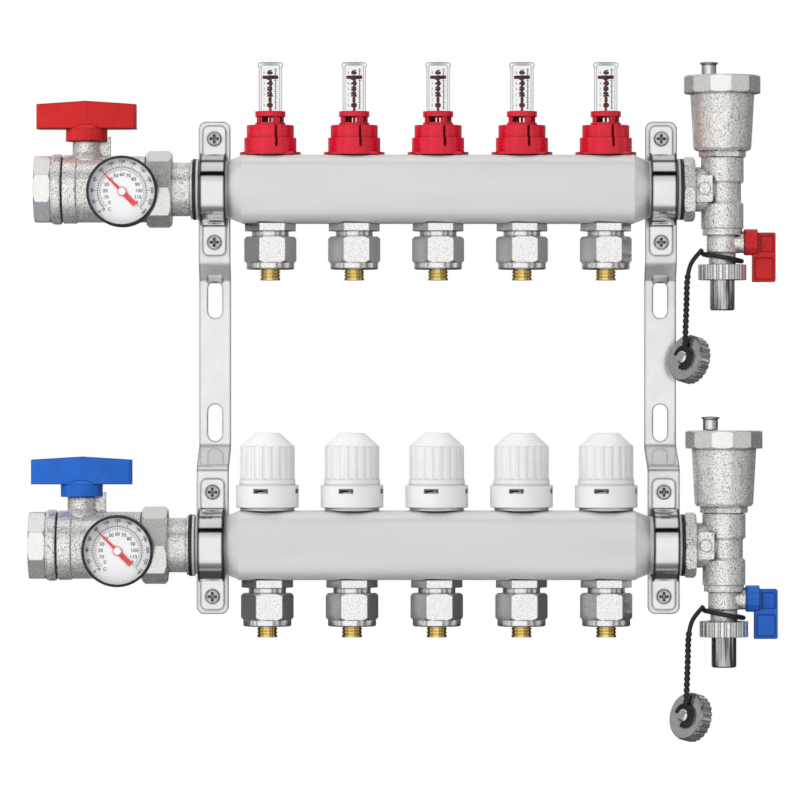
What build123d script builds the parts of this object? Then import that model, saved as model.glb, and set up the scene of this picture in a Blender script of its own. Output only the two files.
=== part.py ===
"""Underfloor heating manifold with five loops.

Two stainless bars on two stepped wall brackets. Supply bar above, return bar below.
Millimetres. X runs right along the bars, Y points into the wall, Z is up.
The origin lies on the wall, midway between the two fixing slots of the left bracket.
"""
import os
from math import cos, radians, sin, tan

from build123d import *

os.makedirs("parts", exist_ok=True)

# Bars
loop_count = 5
loop_pitch = 50.0
bar_height = 40.5
bar_depth = 38.0
bar_corner = 9.0
bar_wall = 1.8
bar_end_margin = 16.5
flare_length = 9.0
neck_radius = 17.0
clamp_inset = 8.5
neck_tail = 10.0
lip_length = 1.5
lip_height = 1.2
port_radius = 10.4
port_collar = 5.0
return_shift = -1.0

# Brackets
slot_spacing = 74.0
slot_width = 8.5
slot_length = 22.0
strip_width = 19.0
strip_thickness = 2.5
strip_bend = 4.0
strip_corner = 4.5
supply_step = 10.0
supply_shelf_margin = 1.5
supply_shelf_rise = 11.0
supply_section_reach = 41.75
return_step = 40.0
return_shelf_margin = 4.6
return_shelf_drop = 12.2
return_section_reach = 44.2
strip_end_reach = 41.5
rib_width = 9.0
rib_depth = 2.6

# Clamps
liner_thickness = 2.5
liner_lip = 2.2
liner_lip_width = 0.5
band_thickness = 1.5
band_width = 14.0
band_bend = 3.0
tab_reach = 39.0
tab_corner = 3.5
screw_offset = 31.0
screw_radius = 2.3
screw_length = 6.5
screw_head_radius = 4.35
screw_head_height = 2.6
recess_width = 1.2
recess_depth = 1.4
recess_reach = 5.2
screw_head_round = 1.0

# Clearances
snug = 0.05
running = 0.1
free = 0.3

# Pipe connectors
nipple_hex_flats = 26.4
nipple_hex_height = 4.7
nipple_neck_radius = 11.0
nipple_neck_height = 3.25
nipple_thread_height = 9.7
nipple_shank = 8.0
nipple_bore = 6.5
cone_height = 4.0
cone_wall = 1.8
nut_flats = 27.0
nut_turn = 6.0
nut_hex_height = 15.7
nut_collar_radius = 14.2
nut_collar_height = 3.8
nut_corner_cut = 1.4
nut_chamfer = 0.6
split_ring_drop = 2.4
split_ring_height = 4.5
split_ring_gap = 1.6
pipe_radius = 8.0
insert_radius = 5.9
insert_bore = 4.5
insert_reach = 6.5
insert_flange = 2.2
groove_count = 3
groove_pitch = 2.0
groove_start = 1.4
groove_depth = 0.5
groove_width = 1.0

# Flow meters
wheel_plate_radius = 18.2
wheel_plate_depth = 24.0
wheel_plate_height = 1.5
wheel_low_radius = 15.55
wheel_low_height = 8.5
wheel_high_radius = 14.05
wheel_high_height = 7.5
wheel_wall = 1.8
wheel_deck = 1.2
wheel_slot_width = 1.6
wheel_slot_angle = 15.0
wheel_neck_radius = 9.0
wheel_neck_height = 8.4
wheel_rim_low = 1.6
wheel_rim_high = 3.2
wheel_post_width = 4.0
wheel_post_angle = 27.0
wheel_post_inset = 0.7
wheel_slot_count = 3
wheel_slot_rise = 3.0
tube_radius = 6.9
tube_wall = 1.2
tube_height = 29.0
tube_rim_radius = 7.5
tube_rim_height = 2.8
tube_foot_height = 1.0
tube_foot_radius = 8.4
rod_radius = 0.8
rod_start = 4.0
base_well = 6.0
disc_radius = 4.8
disc_height = 1.6
disc_drop = 5.0

# White caps
cap_skirt_radius = 16.0
cap_skirt_height = 1.4
cap_ring_radius = 18.5
cap_ring_height = 13.6
cap_band_radius = 16.6
cap_band_height = 3.5
cap_grip_radius = 16.1
cap_grip_height = 19.2
cap_cone_height = 8.0
cap_top_radius = 7.25
cap_flutes = 20
cap_flute_depth = 0.55
cap_flute_radius = 3.2
cap_flute_angle = 15.0
cap_edge = 0.5
cap_wall = 2.6
cap_window_width = 8.5
cap_window_height = 2.6
cap_window_angle = -11.0
cap_window_count = 4
cap_window_drop = 3.5
insert_thread_radius = 15.0
insert_thread_height = 11.0
insert_neck_radius = 8.0
insert_neck_height = 9.0
insert_tip_radius = 4.5
insert_pin_radius = 2.0
insert_pin_drop = 8.6
plunger_radius = 3.5

# Valves
seal_thickness = 2.0
fitting_ring = 1.3
fitting_ring_radius = 17.6
shank_length = 10.0
tail_radius = 16.0
tail_visible = 11.3
union_length = 15.0
union_flats = 42.2
union_web = 3.0
union_thread_radius = 18.6
union_corner_cut = 1.6
octagon_corner = 22.5
union_clamp = 2.5
body_groove = 0.7
barrel_radius = 19.75
barrel_length = 41.1
collar_length = 9.0
collar_radius = 20.4
bulge_length = 6.5
bulge_radius = 21.0
inlet_length = 10.0
inlet_flats = 39.0
inlet_thread_radius = 15.15
inlet_thread_length = 12.5
inlet_corner_cut = 1.2
valve_bore = 12.5
stem_offset = 35.9
ball_radius = 15.8
chamber_gap = 0.6
retainer_wall = 1.1
seat_width = 5.8
ball_slot_depth = 2.6
ball_slot_width = 5.0
stem_radius = 4.0
stem_grip = 5.0
bonnet_radius = 8.4
bonnet_top = 28.3
bonnet_skirt = 2.0
lug_width = 5.0
lug_outer = 14.3
lug_tip = 1.4
lug_rise = 3.0
handle_length = 59.3
handle_middle_depth = 21.0
handle_end_depth = 14.0
handle_bottom = 36.0
handle_end_top = 50.5
handle_peak = 52.3
handle_boss_radius = 12.4
handle_dome = 4.5
handle_wall = 2.2
handle_corner = 2.0
gauge_stand = 22.8
gauge_drop = 2.5
gauge_radius = 21.0
gauge_depth = 13.4
gauge_rim = 1.6
gauge_stem_radius = 4.0
gauge_boss_radius = 7.0
gauge_lip = 0.7
gauge_wall = 1.3
gauge_back_wall = 2.0
gauge_edge = 0.8
dial_depth = 8.0
dial_thickness = 0.6
lens_thickness = 1.5
needle_angle = 135.0
needle_thickness = 0.6
needle_hub_radius = 2.7
needle_half_width = 1.0
needle_tip = 0.2
needle_inset = 3.5
needle_tail_length = 10.0
needle_tail_width = 3.0
needle_tail_offset = 6.0
needle_pin_radius = 0.6
needle_pin_reach = 1.2

# Tees, vents and drains
tee_octagon_length = 6.8
tee_octagon_across = 38.5
tee_axis_offset = 23.5
tee_nose_radius = 13.3
tee_high_radius = 12.7
tee_mid_radius = 11.15
tee_low_radius = 12.6
tee_top = 18.7
tee_socket_foot = 4.7
tee_low_socket = 8.8
tee_bottom = 23.3
tee_socket_bore = 10.4
tee_bore = 7.5
tee_neck_slope = 1.4
nose_reach = 3.0
pad_offset = 11.5
pad_width = 10.0
pad_height = 16.0
pad_rise = 0.9
pad_circle = 3.5
pad_circle_height = 0.6
vent_collar_across = 29.0
vent_collar_height = 3.8
vent_collar_turn = 10.0
vent_seat = 0.4
vent_cup_round = 2.5
vent_cup_arc = 2.6
vent_cup_low = 17.3
vent_cup_high = 19.1
vent_cup_height = 34.2
vent_lid_across = 46.6
vent_lid_height = 10.5
vent_cap_offset = 8.0
vent_cap_radius = 4.4
vent_cap_height = 8.6
vent_lid_turn = 9.0
vent_cap_flange = 0.9
vent_cap_flange_height = 1.8
nozzle_radius = 2.2
nozzle_height = 5.2
drain_collar_radius = 11.8
drain_collar_height = 4.0
drain_body_radius = 9.25
drain_body_height = 11.0
drain_neck_radius = 8.0
drain_neck_height = 6.6
hose_nut_radius = 14.3
hose_nut_height = 9.1
hose_nut_web = 1.8
hose_tail_radius = 7.35
hose_tail_step = 0.4
hose_tail_bore = 5.0
hose_tail_length = 18.1
hose_tail_seat = 4.2
drain_thread_radius = 10.2
neck_slope = 0.8
knurl_count = 24
knurl_radius = 0.9
knurl_inset = 0.2
spindle_drop = 8.2
spindle_boss_radius = 6.5
spindle_boss_reach = 12.5
spindle_radius = 2.5
drain_ball_radius = 6.2
drain_bore = 4.0
lever_hub_radius = 7.85
lever_hub_length = 8.0
lever_left = 17.8
lever_right = 31.5
lever_top = 5.7
lever_bottom = 23.7
lever_thickness = 7.0
lever_round = 1.2
lever_panel_depth = 0.5
lever_panel_margin = 1.5
lever_panel_round = 0.8

# Retaining straps and drain caps
strap_radius = 1.35
strap_ring_radius = 11.7
strap_ring_tilt = 10.5
drain_cap_radius = 14.3
drain_cap_thickness = 8.1
drain_cap_edge = 1.5
drain_cap_bevel = 0.8
drain_cap_floor = 2.7
button_radius = 4.2
button_height = 3.3
loop_width = 0.8
loop_gap = 0.3

# Places that follow from the sizes above
half_run = (loop_count - 1) * loop_pitch / 2
bar_half = half_run + bar_end_margin
flare_end = bar_half + flare_length
clamp_x = flare_end + clamp_inset
bar_end = clamp_x + neck_tail
bracket_span = 2 * clamp_x
fitting_start = bar_end + seal_thickness
supply_foot = slot_spacing / 2 + slot_length / 2 + supply_shelf_margin
return_foot = slot_spacing / 2 + slot_length / 2 + return_shelf_margin
supply_z = supply_foot + supply_shelf_rise + supply_section_reach
return_z = -(return_foot + return_shelf_drop + return_section_reach)
seat_radius = neck_radius + liner_thickness
supply_y = -(supply_step + strip_thickness + seat_radius)
return_y = -(return_step + strip_thickness + seat_radius)
supply_bar_place = Location((bracket_span / 2, supply_y, supply_z))
return_bar_place = Location((bracket_span / 2 + return_shift, return_y, return_z))
bar_places = {"supply": supply_bar_place, "return": return_bar_place}
port_xs = [number * loop_pitch - half_run for number in range(loop_count)]
port_places = [place * Location((x, 0, 0)) for place in bar_places.values() for x in port_xs]
bar_top = bar_height / 2


def write(piece, node):
    """Label a finished piece and write it as one STEP file."""
    piece.part.label = node
    export_step(piece.part, f"parts/{node}.step")


def write_copies(shape, places, node):
    """Write equal pieces, one at each place, as one node."""
    with BuildPart() as group:
        with Locations(*places):
            add(shape)
    write(group, node)


def turned(*outline):
    """A piece turned about Z from (radius, height) points."""
    with BuildPart() as piece:
        with BuildSketch(Plane.XZ):
            with BuildLine():
                Polyline(*outline, close=True)
            make_face()
        revolve(axis=Axis.Z)
    return piece.part


def turned_along_x(*outline):
    """A piece turned about X from (place along X, radius) points."""
    with BuildPart() as piece:
        with BuildSketch(Plane.XZ):
            with BuildLine():
                Polyline(*outline, close=True)
            make_face()
        revolve(axis=Axis.X)
    return piece.part


def prism_blank(sides, flats, low, high, turn, corner_cut):
    """A nut's outside along Z: a prism whose corners are turned off at both ends."""
    across = flats / 2 / cos(radians(180 / sides))
    with BuildPart() as blank:
        with BuildSketch(Plane.XY.offset(low)):
            RegularPolygon(flats / 2, sides, major_radius=False, rotation=turn)
        extrude(amount=high - low)
        add(turned((0, low), (across - corner_cut, low), (across, low + corner_cut),
                   (across, high - corner_cut), (across - corner_cut, high), (0, high)),
            mode=Mode.INTERSECT)
    return blank.part


# Brackets: one strip, joggled forward above and below its wall section


def bracket(x):
    """A stepped bracket at its place along the bars."""
    path_points = [
        (-supply_step, supply_z + strip_end_reach),
        (-supply_step, supply_foot + supply_shelf_rise),
        (0, supply_foot),
        (0, -return_foot),
        (-return_step, -return_foot - return_shelf_drop),
        (-return_step, return_z - strip_end_reach),
    ]
    rib_foot = (-strip_thickness + 1, supply_foot - strip_bend)
    rib_nose = (-strip_thickness - rib_depth, supply_foot + 1.5)
    rib_head = (-strip_thickness - supply_step / 2 + 0.5, supply_foot + supply_shelf_rise / 2)
    with BuildPart() as strip:
        with BuildSketch(Plane.YZ.offset(x)):
            with BuildLine():
                FilletPolyline(*path_points, radius=strip_bend)
                offset(amount=strip_thickness, side=Side.RIGHT)
            make_face()
        extrude(amount=strip_width / 2, both=True)
        fillet(strip.edges().filter_by(Axis.Y).group_by(Axis.Z)[-1], strip_corner)
        fillet(strip.edges().filter_by(Axis.Y).group_by(Axis.Z)[0], strip_corner)
        with BuildSketch(Plane.YZ.offset(x)):
            with BuildLine():
                Polyline(rib_foot, rib_nose, rib_head, (-1, supply_foot + 2), close=True)
            make_face()
        extrude(amount=rib_width / 2, both=True)
        with BuildSketch(Plane.XZ):
            with Locations((x, slot_spacing / 2), (x, -slot_spacing / 2)):
                SlotOverall(slot_length, slot_width, rotation=90)
        extrude(amount=strip_thickness, mode=Mode.SUBTRACT)
        with BuildSketch(Plane.XZ):
            for height in (supply_z, return_z):
                with Locations((x, height + screw_offset), (x, height - screw_offset)):
                    Circle(screw_radius + snug)
        extrude(amount=return_step + strip_thickness, mode=Mode.SUBTRACT)
    return strip


write(bracket(0), "left_bracket")
write(bracket(bracket_span), "right_bracket")

# Clamps, liners and screws, about a bar's axis

clamp_places = [
    Location((x, y, z))
    for x in (0, bracket_span)
    for y, z in ((supply_y, supply_z), (return_y, return_z))
]

with BuildPart() as clamp:
    with BuildSketch(Plane.YZ):
        with BuildLine():
            Polyline((seat_radius, -tab_reach), (seat_radius, -seat_radius), (0, -seat_radius))
            ThreePointArc((0, -seat_radius), (-seat_radius, 0), (0, seat_radius))
            Polyline((0, seat_radius), (seat_radius, seat_radius), (seat_radius, tab_reach))
            offset(amount=band_thickness, side=Side.LEFT)
        make_face()
    extrude(amount=band_width / 2, both=True)
    tabs = clamp.edges().filter_by(Axis.Y)
    fillet(tabs.group_by(Axis.Z)[0], tab_corner)
    fillet(clamp.edges().filter_by(Axis.Y).group_by(Axis.Z)[-1], tab_corner)
    with BuildSketch(Plane.XZ):
        with Locations((0, screw_offset), (0, -screw_offset)):
            Circle(screw_radius + snug)
    extrude(amount=-seat_radius, mode=Mode.SUBTRACT)
write_copies(clamp.part, clamp_places, "pipe_clamps")

lip_inner = seat_radius - 1
lip_outer = seat_radius + liner_lip
liner_half = band_width / 2 + liner_lip_width
with BuildPart() as lips:
    add(turned_along_x((-liner_half, lip_inner), (-band_width / 2, lip_inner),
                       (-band_width / 2, lip_outer), (-liner_half, lip_outer)))
    add(turned_along_x((band_width / 2, lip_inner), (liner_half, lip_inner),
                       (liner_half, lip_outer), (band_width / 2, lip_outer)))
    split(bisect_by=Plane.XZ.offset(-seat_radius / 2), keep=Keep.TOP)
with BuildPart() as liner:
    add(turned_along_x((-liner_half, neck_radius + snug), (liner_half, neck_radius + snug),
                       (liner_half, seat_radius - snug), (-liner_half, seat_radius - snug)))
    add(lips.part)
write_copies(liner.part, clamp_places, "clamp_liners")

head_seat = seat_radius - band_thickness
with BuildPart() as screw:
    with BuildSketch(Plane.XZ.offset(-head_seat)):
        Circle(screw_head_radius)
    extrude(amount=screw_head_height)
    fillet(screw.faces().sort_by(Axis.Y)[0].edges(), screw_head_round)
    with BuildSketch(Plane.XZ.offset(-head_seat)):
        Circle(screw_radius)
    extrude(amount=-screw_length)
    with BuildSketch(Plane.XZ.offset(-head_seat + screw_head_height)):
        Rectangle(recess_reach, recess_width)
        Rectangle(recess_width, recess_reach)
    extrude(amount=-recess_depth, mode=Mode.SUBTRACT)
screw_places = [
    place * Location((0, 0, height))
    for place in clamp_places
    for height in (screw_offset, -screw_offset)
]
write_copies(screw.part, screw_places, "clamp_screws")

# Bars: a rounded tube that flares into a round neck at each end


def bar_form(inset, reach):
    """The outside of a bar, or its inside when inset by the wall."""
    with BuildPart() as form:
        with BuildSketch(Plane.YZ):
            RectangleRounded(bar_depth - 2 * inset, bar_height - 2 * inset, bar_corner - inset)
        extrude(amount=bar_half)
        with BuildSketch(Plane.YZ.offset(bar_half)):
            RectangleRounded(bar_depth - 2 * inset, bar_height - 2 * inset, bar_corner - inset)
        with BuildSketch(Plane.YZ.offset(flare_end)):
            with BuildLine():
                for step in range(8):
                    CenterArc((0, 0), neck_radius - inset, 45 * step - 22.5, 45)
            make_face()
        loft()
        with BuildSketch(Plane.YZ.offset(flare_end)):
            Circle(neck_radius - inset)
        extrude(amount=reach - flare_end)
        mirror(about=Plane.YZ)
    return form.part


collar_top = bar_top - bar_wall / 2
collar_foot = bar_top - bar_wall - port_collar
lip_start = bar_end - lip_length
lip_root = neck_radius - bar_wall / 2
lip_radius = neck_radius + lip_height
with BuildPart() as bar:
    add(bar_form(0, bar_end))
    add(bar_form(bar_wall, bar_end + 1), mode=Mode.SUBTRACT)
    add(turned_along_x((lip_start, lip_root), (bar_end, lip_root), (bar_end, lip_radius),
                       (lip_start, lip_radius)))
    add(turned_along_x((-bar_end, lip_root), (-lip_start, lip_root), (-lip_start, lip_radius),
                       (-bar_end, lip_radius)))
    with Locations(*[(x, 0, 0) for x in port_xs]):
        add(turned((port_radius, collar_foot), (port_radius + bar_wall, collar_foot),
                   (port_radius + bar_wall, collar_top), (port_radius, collar_top)))
        add(turned((port_radius, -collar_foot), (port_radius + bar_wall, -collar_foot),
                   (port_radius + bar_wall, -collar_top), (port_radius, -collar_top)))
        Cylinder(port_radius, bar_height + 2, mode=Mode.SUBTRACT)
for name, place in bar_places.items():
    write_copies(bar.part, [place], f"{name}_bar")

# Pipe connectors below the bars

nipple_top = -bar_top
nut_top = nipple_top - nipple_hex_height - nipple_neck_height
thread_end = nut_top - nipple_thread_height
nut_hex_foot = nut_top - nut_hex_height
nut_foot = nut_hex_foot - nut_collar_height
cone_mouth = nipple_neck_radius - cone_wall
with BuildPart() as nipple:
    add(turned((nipple_bore, nipple_top + nipple_shank), (port_radius - running, nipple_top + nipple_shank),
               (port_radius - running, nipple_top), (nipple_neck_radius, nipple_top),
               (nipple_neck_radius, thread_end), (cone_mouth, thread_end),
               (nipple_bore, thread_end + cone_height)))
    with BuildSketch(Plane.XY.offset(nipple_top)):
        RegularPolygon(nipple_hex_flats / 2, 6, major_radius=False, rotation=nut_turn)
        Circle(nipple_neck_radius - 1, mode=Mode.SUBTRACT)
    extrude(amount=-nipple_hex_height)
write_copies(nipple.part, port_places, "loop_nipples")

ring_seat = thread_end - split_ring_drop
ring_foot = ring_seat - split_ring_height
with BuildPart() as compression_nut:
    add(prism_blank(6, nut_flats, nut_hex_foot, nut_top, nut_turn, nut_corner_cut))
    with BuildSketch(Plane.XY.offset(nut_hex_foot)):
        Circle(nut_collar_radius)
    extrude(amount=-nut_collar_height)
    chamfer(compression_nut.faces().sort_by(Axis.Z)[0].edges(), nut_chamfer)
    add(turned((0, nut_top + 1), (nipple_neck_radius + snug, nut_top + 1),
               (nipple_neck_radius + snug, ring_seat), (nipple_neck_radius - 0.2, ring_foot),
               (pipe_radius + free, ring_foot), (pipe_radius + free, nut_foot - 1),
               (0, nut_foot - 1)),
        mode=Mode.SUBTRACT)
write_copies(compression_nut.part, port_places, "compression_nuts")

with BuildPart() as split_ring:
    add(turned((pipe_radius + snug, ring_seat), (nipple_neck_radius - 0.4, ring_seat),
               (nipple_neck_radius - 0.4, ring_foot + snug), (pipe_radius + snug, ring_foot + snug)))
    with BuildSketch(Plane.XY.offset(ring_seat)):
        with Locations((0, pipe_radius + 2)):
            Rectangle(split_ring_gap, 2 * pipe_radius)
    extrude(amount=-split_ring_height, mode=Mode.SUBTRACT)
write_copies(split_ring.part, port_places, "split_rings")

insert_foot = nut_foot - insert_reach
insert_shoulder = thread_end - insert_flange
groove_heights = [insert_foot + groove_start + groove_pitch * number for number in range(groove_count)]
with BuildPart() as pipe_insert:
    add(turned((insert_bore, thread_end + cone_height - snug),
               (nipple_bore - 0.2, thread_end + cone_height - snug),
               (cone_mouth - 0.2, thread_end - snug), (nipple_neck_radius - 0.6, thread_end - snug),
               (nipple_neck_radius - 0.6, insert_shoulder), (insert_radius, insert_shoulder),
               (insert_radius, insert_foot), (insert_bore, insert_foot)))
    for height in groove_heights:
        add(turned((insert_radius - groove_depth, height), (insert_radius + 1, height),
                   (insert_radius + 1, height + groove_width),
                   (insert_radius - groove_depth, height + groove_width)),
            mode=Mode.SUBTRACT)
write_copies(pipe_insert.part, port_places, "pipe_inserts")

# Flow meters on the supply bar

wheel_foot = bar_top + free
plate_top = wheel_foot + wheel_plate_height
low_top = plate_top + wheel_low_height
deck_top = low_top + wheel_high_height
neck_top = deck_top + wheel_neck_height
deck_foot = deck_top - wheel_deck
base_radius = wheel_neck_radius - 0.1
base_top = deck_foot - tube_foot_height - free
sleeve_bore = base_radius + free
tube_top = neck_top + tube_height
neck_bore = tube_radius + free
disc_top = tube_top - tube_rim_height - disc_drop
meter_places = [supply_bar_place * Location((x, 0, 0)) for x in port_xs]
rod_foot = bar_top + rod_start

with BuildPart() as meter_base:
    add(turned((rod_radius + running, bar_top - nipple_shank),
               (port_radius - running, bar_top - nipple_shank),
               (port_radius - running, bar_top), (base_radius, bar_top), (base_radius, base_top),
               (tube_radius - tube_wall, base_top), (tube_radius - tube_wall, base_top - base_well),
               (rod_radius + running, base_top - base_well - 2)))
write_copies(meter_base.part, meter_places, "flow_meter_bases")

with BuildPart() as sight_tube:
    add(turned((tube_radius - tube_wall, base_top), (tube_foot_radius, base_top),
               (tube_foot_radius, base_top + tube_foot_height), (tube_radius, base_top + tube_foot_height),
               (tube_radius, tube_top - tube_rim_height), (tube_rim_radius, tube_top - tube_rim_height + 0.5),
               (tube_rim_radius, tube_top - 0.6), (tube_rim_radius - 0.6, tube_top), (0, tube_top),
               (0, tube_top - tube_wall), (tube_radius - tube_wall, tube_top - tube_wall)))
write_copies(sight_tube.part, meter_places, "flow_meter_tubes")

with BuildPart() as posts:
    with BuildSketch(Plane.XY.offset(deck_top)):
        with PolarLocations(0, 2, start_angle=wheel_post_angle):
            Rectangle(2 * wheel_neck_radius, wheel_post_width)
            Rectangle(wheel_post_width, 2 * wheel_neck_radius)
        Circle(wheel_neck_radius - wheel_post_inset, mode=Mode.INTERSECT)
    extrude(amount=wheel_neck_height)
with BuildPart() as wheel_slot:
    with BuildSketch(Plane.XZ.offset(sleeve_bore + wheel_wall)):
        with Locations((0, (plate_top + deck_top) / 2 + wheel_slot_rise)):
            SlotOverall(deck_top - plate_top, wheel_slot_width, rotation=90)
    extrude(amount=wheel_low_radius)

with BuildPart() as wheel:
    with BuildSketch(Plane.XY.offset(wheel_foot)):
        Circle(wheel_plate_radius)
        Rectangle(2 * wheel_plate_radius, wheel_plate_depth, mode=Mode.INTERSECT)
        Circle(wheel_low_radius)
    extrude(amount=wheel_plate_height)
    with BuildSketch(Plane.XY.offset(plate_top)):
        Circle(wheel_low_radius)
    extrude(amount=wheel_low_height)
    with BuildSketch(Plane.XY.offset(low_top)):
        Circle(wheel_high_radius)
    extrude(amount=wheel_high_height)
    add(turned((sleeve_bore + wheel_wall, wheel_foot - 1), (wheel_low_radius - wheel_wall, wheel_foot - 1),
               (wheel_low_radius - wheel_wall, low_top - wheel_wall),
               (wheel_high_radius - wheel_wall, low_top), (wheel_high_radius - wheel_wall, deck_foot),
               (sleeve_bore + wheel_wall, deck_foot)),
        mode=Mode.SUBTRACT)
    with BuildSketch(Plane.XY.offset(deck_top)):
        Circle(wheel_neck_radius)
    extrude(amount=wheel_rim_low)
    with BuildSketch(Plane.XY.offset(neck_top - wheel_rim_high)):
        Circle(wheel_neck_radius)
    extrude(amount=wheel_rim_high)
    add(posts.part)
    add(turned((0, wheel_foot - 1), (sleeve_bore, wheel_foot - 1), (sleeve_bore, deck_foot),
               (neck_bore, deck_foot), (neck_bore, neck_top + 1), (0, neck_top + 1)),
        mode=Mode.SUBTRACT)
    with PolarLocations(0, wheel_slot_count, start_angle=wheel_slot_angle):
        add(wheel_slot.part, mode=Mode.SUBTRACT)

with BuildPart() as indicator:
    add(turned((0, rod_foot), (rod_radius, rod_foot), (rod_radius, disc_top - disc_height),
               (disc_radius, disc_top - disc_height), (disc_radius, disc_top), (0, disc_top)))
for number, place in enumerate(meter_places, 1):
    write_copies(wheel.part, [place], f"flow_meter_wheel_{number}")
    write_copies(indicator.part, [place], f"flow_indicator_{number}")

# Balancing inserts and white caps on the return bar

cap_foot = bar_top + free
skirt_top = cap_foot + cap_skirt_height
ring_top = skirt_top + cap_ring_height
band_top = ring_top + cap_band_height
grip_top = band_top + cap_grip_height
cap_top = grip_top + cap_cone_height
thread_top = cap_foot + insert_thread_height
insert_top = thread_top + insert_neck_height
pin_top = grip_top - insert_pin_drop
cap_places = [return_bar_place * Location((x, 0, 0)) for x in port_xs]

with BuildPart() as balancing_insert:
    add(turned((0, bar_top - nipple_shank), (port_radius - running, bar_top - nipple_shank),
               (port_radius - running, bar_top), (insert_thread_radius, bar_top),
               (insert_thread_radius, thread_top), (insert_neck_radius, thread_top),
               (insert_neck_radius, insert_top), (insert_tip_radius, insert_top + 2),
               (insert_pin_radius, insert_top + 2), (insert_pin_radius, pin_top), (0, pin_top)))
write_copies(balancing_insert.part, cap_places, "balancing_inserts")

flute_circle = cap_grip_radius + cap_flute_radius - cap_flute_depth
with BuildPart() as flutes:
    with BuildSketch(Plane.XY.offset(band_top)):
        with PolarLocations(flute_circle, cap_flutes, start_angle=cap_flute_angle):
            Circle(cap_flute_radius)
    extrude(amount=cap_grip_height + 1)
with BuildPart() as window:
    with BuildSketch(Plane.XZ.offset(insert_thread_radius)):
        with Locations((0, ring_top - cap_window_drop)):
            Rectangle(cap_window_width, cap_window_height)
    extrude(amount=cap_ring_radius)

with BuildPart() as white_cap:
    add(turned((0, cap_foot), (cap_skirt_radius, cap_foot), (cap_skirt_radius, skirt_top),
               (cap_ring_radius, skirt_top + cap_edge), (cap_ring_radius, ring_top - cap_edge),
               (cap_ring_radius - cap_edge, ring_top), (cap_band_radius, ring_top),
               (cap_band_radius, band_top - cap_edge), (cap_grip_radius, band_top),
               (cap_grip_radius, grip_top),
               (cap_top_radius + 1, cap_top - 0.8), (cap_top_radius, cap_top), (0, cap_top)))
    add(flutes.part, mode=Mode.SUBTRACT)
    with PolarLocations(0, cap_window_count, start_angle=cap_window_angle):
        add(window.part, mode=Mode.SUBTRACT)
    add(turned((0, cap_foot - 1), (insert_thread_radius + free, cap_foot - 1),
               (insert_thread_radius + free, thread_top + 0.5), (cap_grip_radius - cap_wall, thread_top + 3),
               (cap_grip_radius - cap_wall, grip_top - 1), (cap_top_radius, cap_top - cap_wall),
               (plunger_radius, cap_top - cap_wall), (plunger_radius, pin_top + free), (0, pin_top + free)),
        mode=Mode.SUBTRACT)
for number, place in enumerate(cap_places, 1):
    write_copies(white_cap.part, [place], f"return_cap_{number}")

# Gaskets at the bars' ends

bore_inner = neck_radius - bar_wall
end_gasket = turned_along_x((bar_end, bore_inner), (bar_end, neck_radius + lip_height),
                            (fitting_start, neck_radius + lip_height), (fitting_start, bore_inner))
other_gasket = turned_along_x((-bar_end, bore_inner), (-bar_end, neck_radius + lip_height),
                              (-fitting_start, neck_radius + lip_height), (-fitting_start, bore_inner))

# Shut-off valves on the left

tail_end = -(fitting_start + fitting_ring + tail_visible)
union_end = tail_end - union_length
collar_end = tail_end - union_web - union_clamp
spigot_end = collar_end - seal_thickness
barrel_end = union_end - barrel_length
bulge_start = barrel_end - collar_length
body_end = bulge_start - bulge_length
inlet_end = body_end - inlet_length
stem_x = union_end - stem_offset
shank_radius = bore_inner - running
chamber_radius = ball_radius + chamber_gap
ball_reach = ball_radius - snug
retainer_end = stem_x - ball_reach - free
chamber_end = stem_x + ball_reach + free
retainer_radius = chamber_radius + retainer_wall
along_octagon = Location((0, 0, 0), (0, 90, 0))

with BuildPart() as tailpiece:
    add(turned_along_x((shank_length - fitting_start, valve_bore),
                       (shank_length - fitting_start, shank_radius),
                       (-fitting_start, shank_radius), (-fitting_start, fitting_ring_radius),
                       (-fitting_start - fitting_ring, fitting_ring_radius),
                       (-fitting_start - fitting_ring, tail_radius),
                       (tail_end - union_web, tail_radius),
                       (tail_end - union_web, union_thread_radius - free),
                       (collar_end, union_thread_radius - free), (collar_end, valve_bore)))
write_copies(tailpiece.part, bar_places.values(), "valve_tailpieces")

with BuildPart() as union_nut:
    with Locations(along_octagon):
        add(prism_blank(8, union_flats, union_end, tail_end, 0, union_corner_cut))
    add(turned_along_x((tail_end + 1, 0), (tail_end + 1, tail_radius + snug),
                       (tail_end - union_web, tail_radius + snug),
                       (tail_end - union_web, union_thread_radius),
                       (union_end - 1, union_thread_radius), (union_end - 1, 0)),
        mode=Mode.SUBTRACT)
write_copies(union_nut.part, bar_places.values(), "union_nuts")

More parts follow.
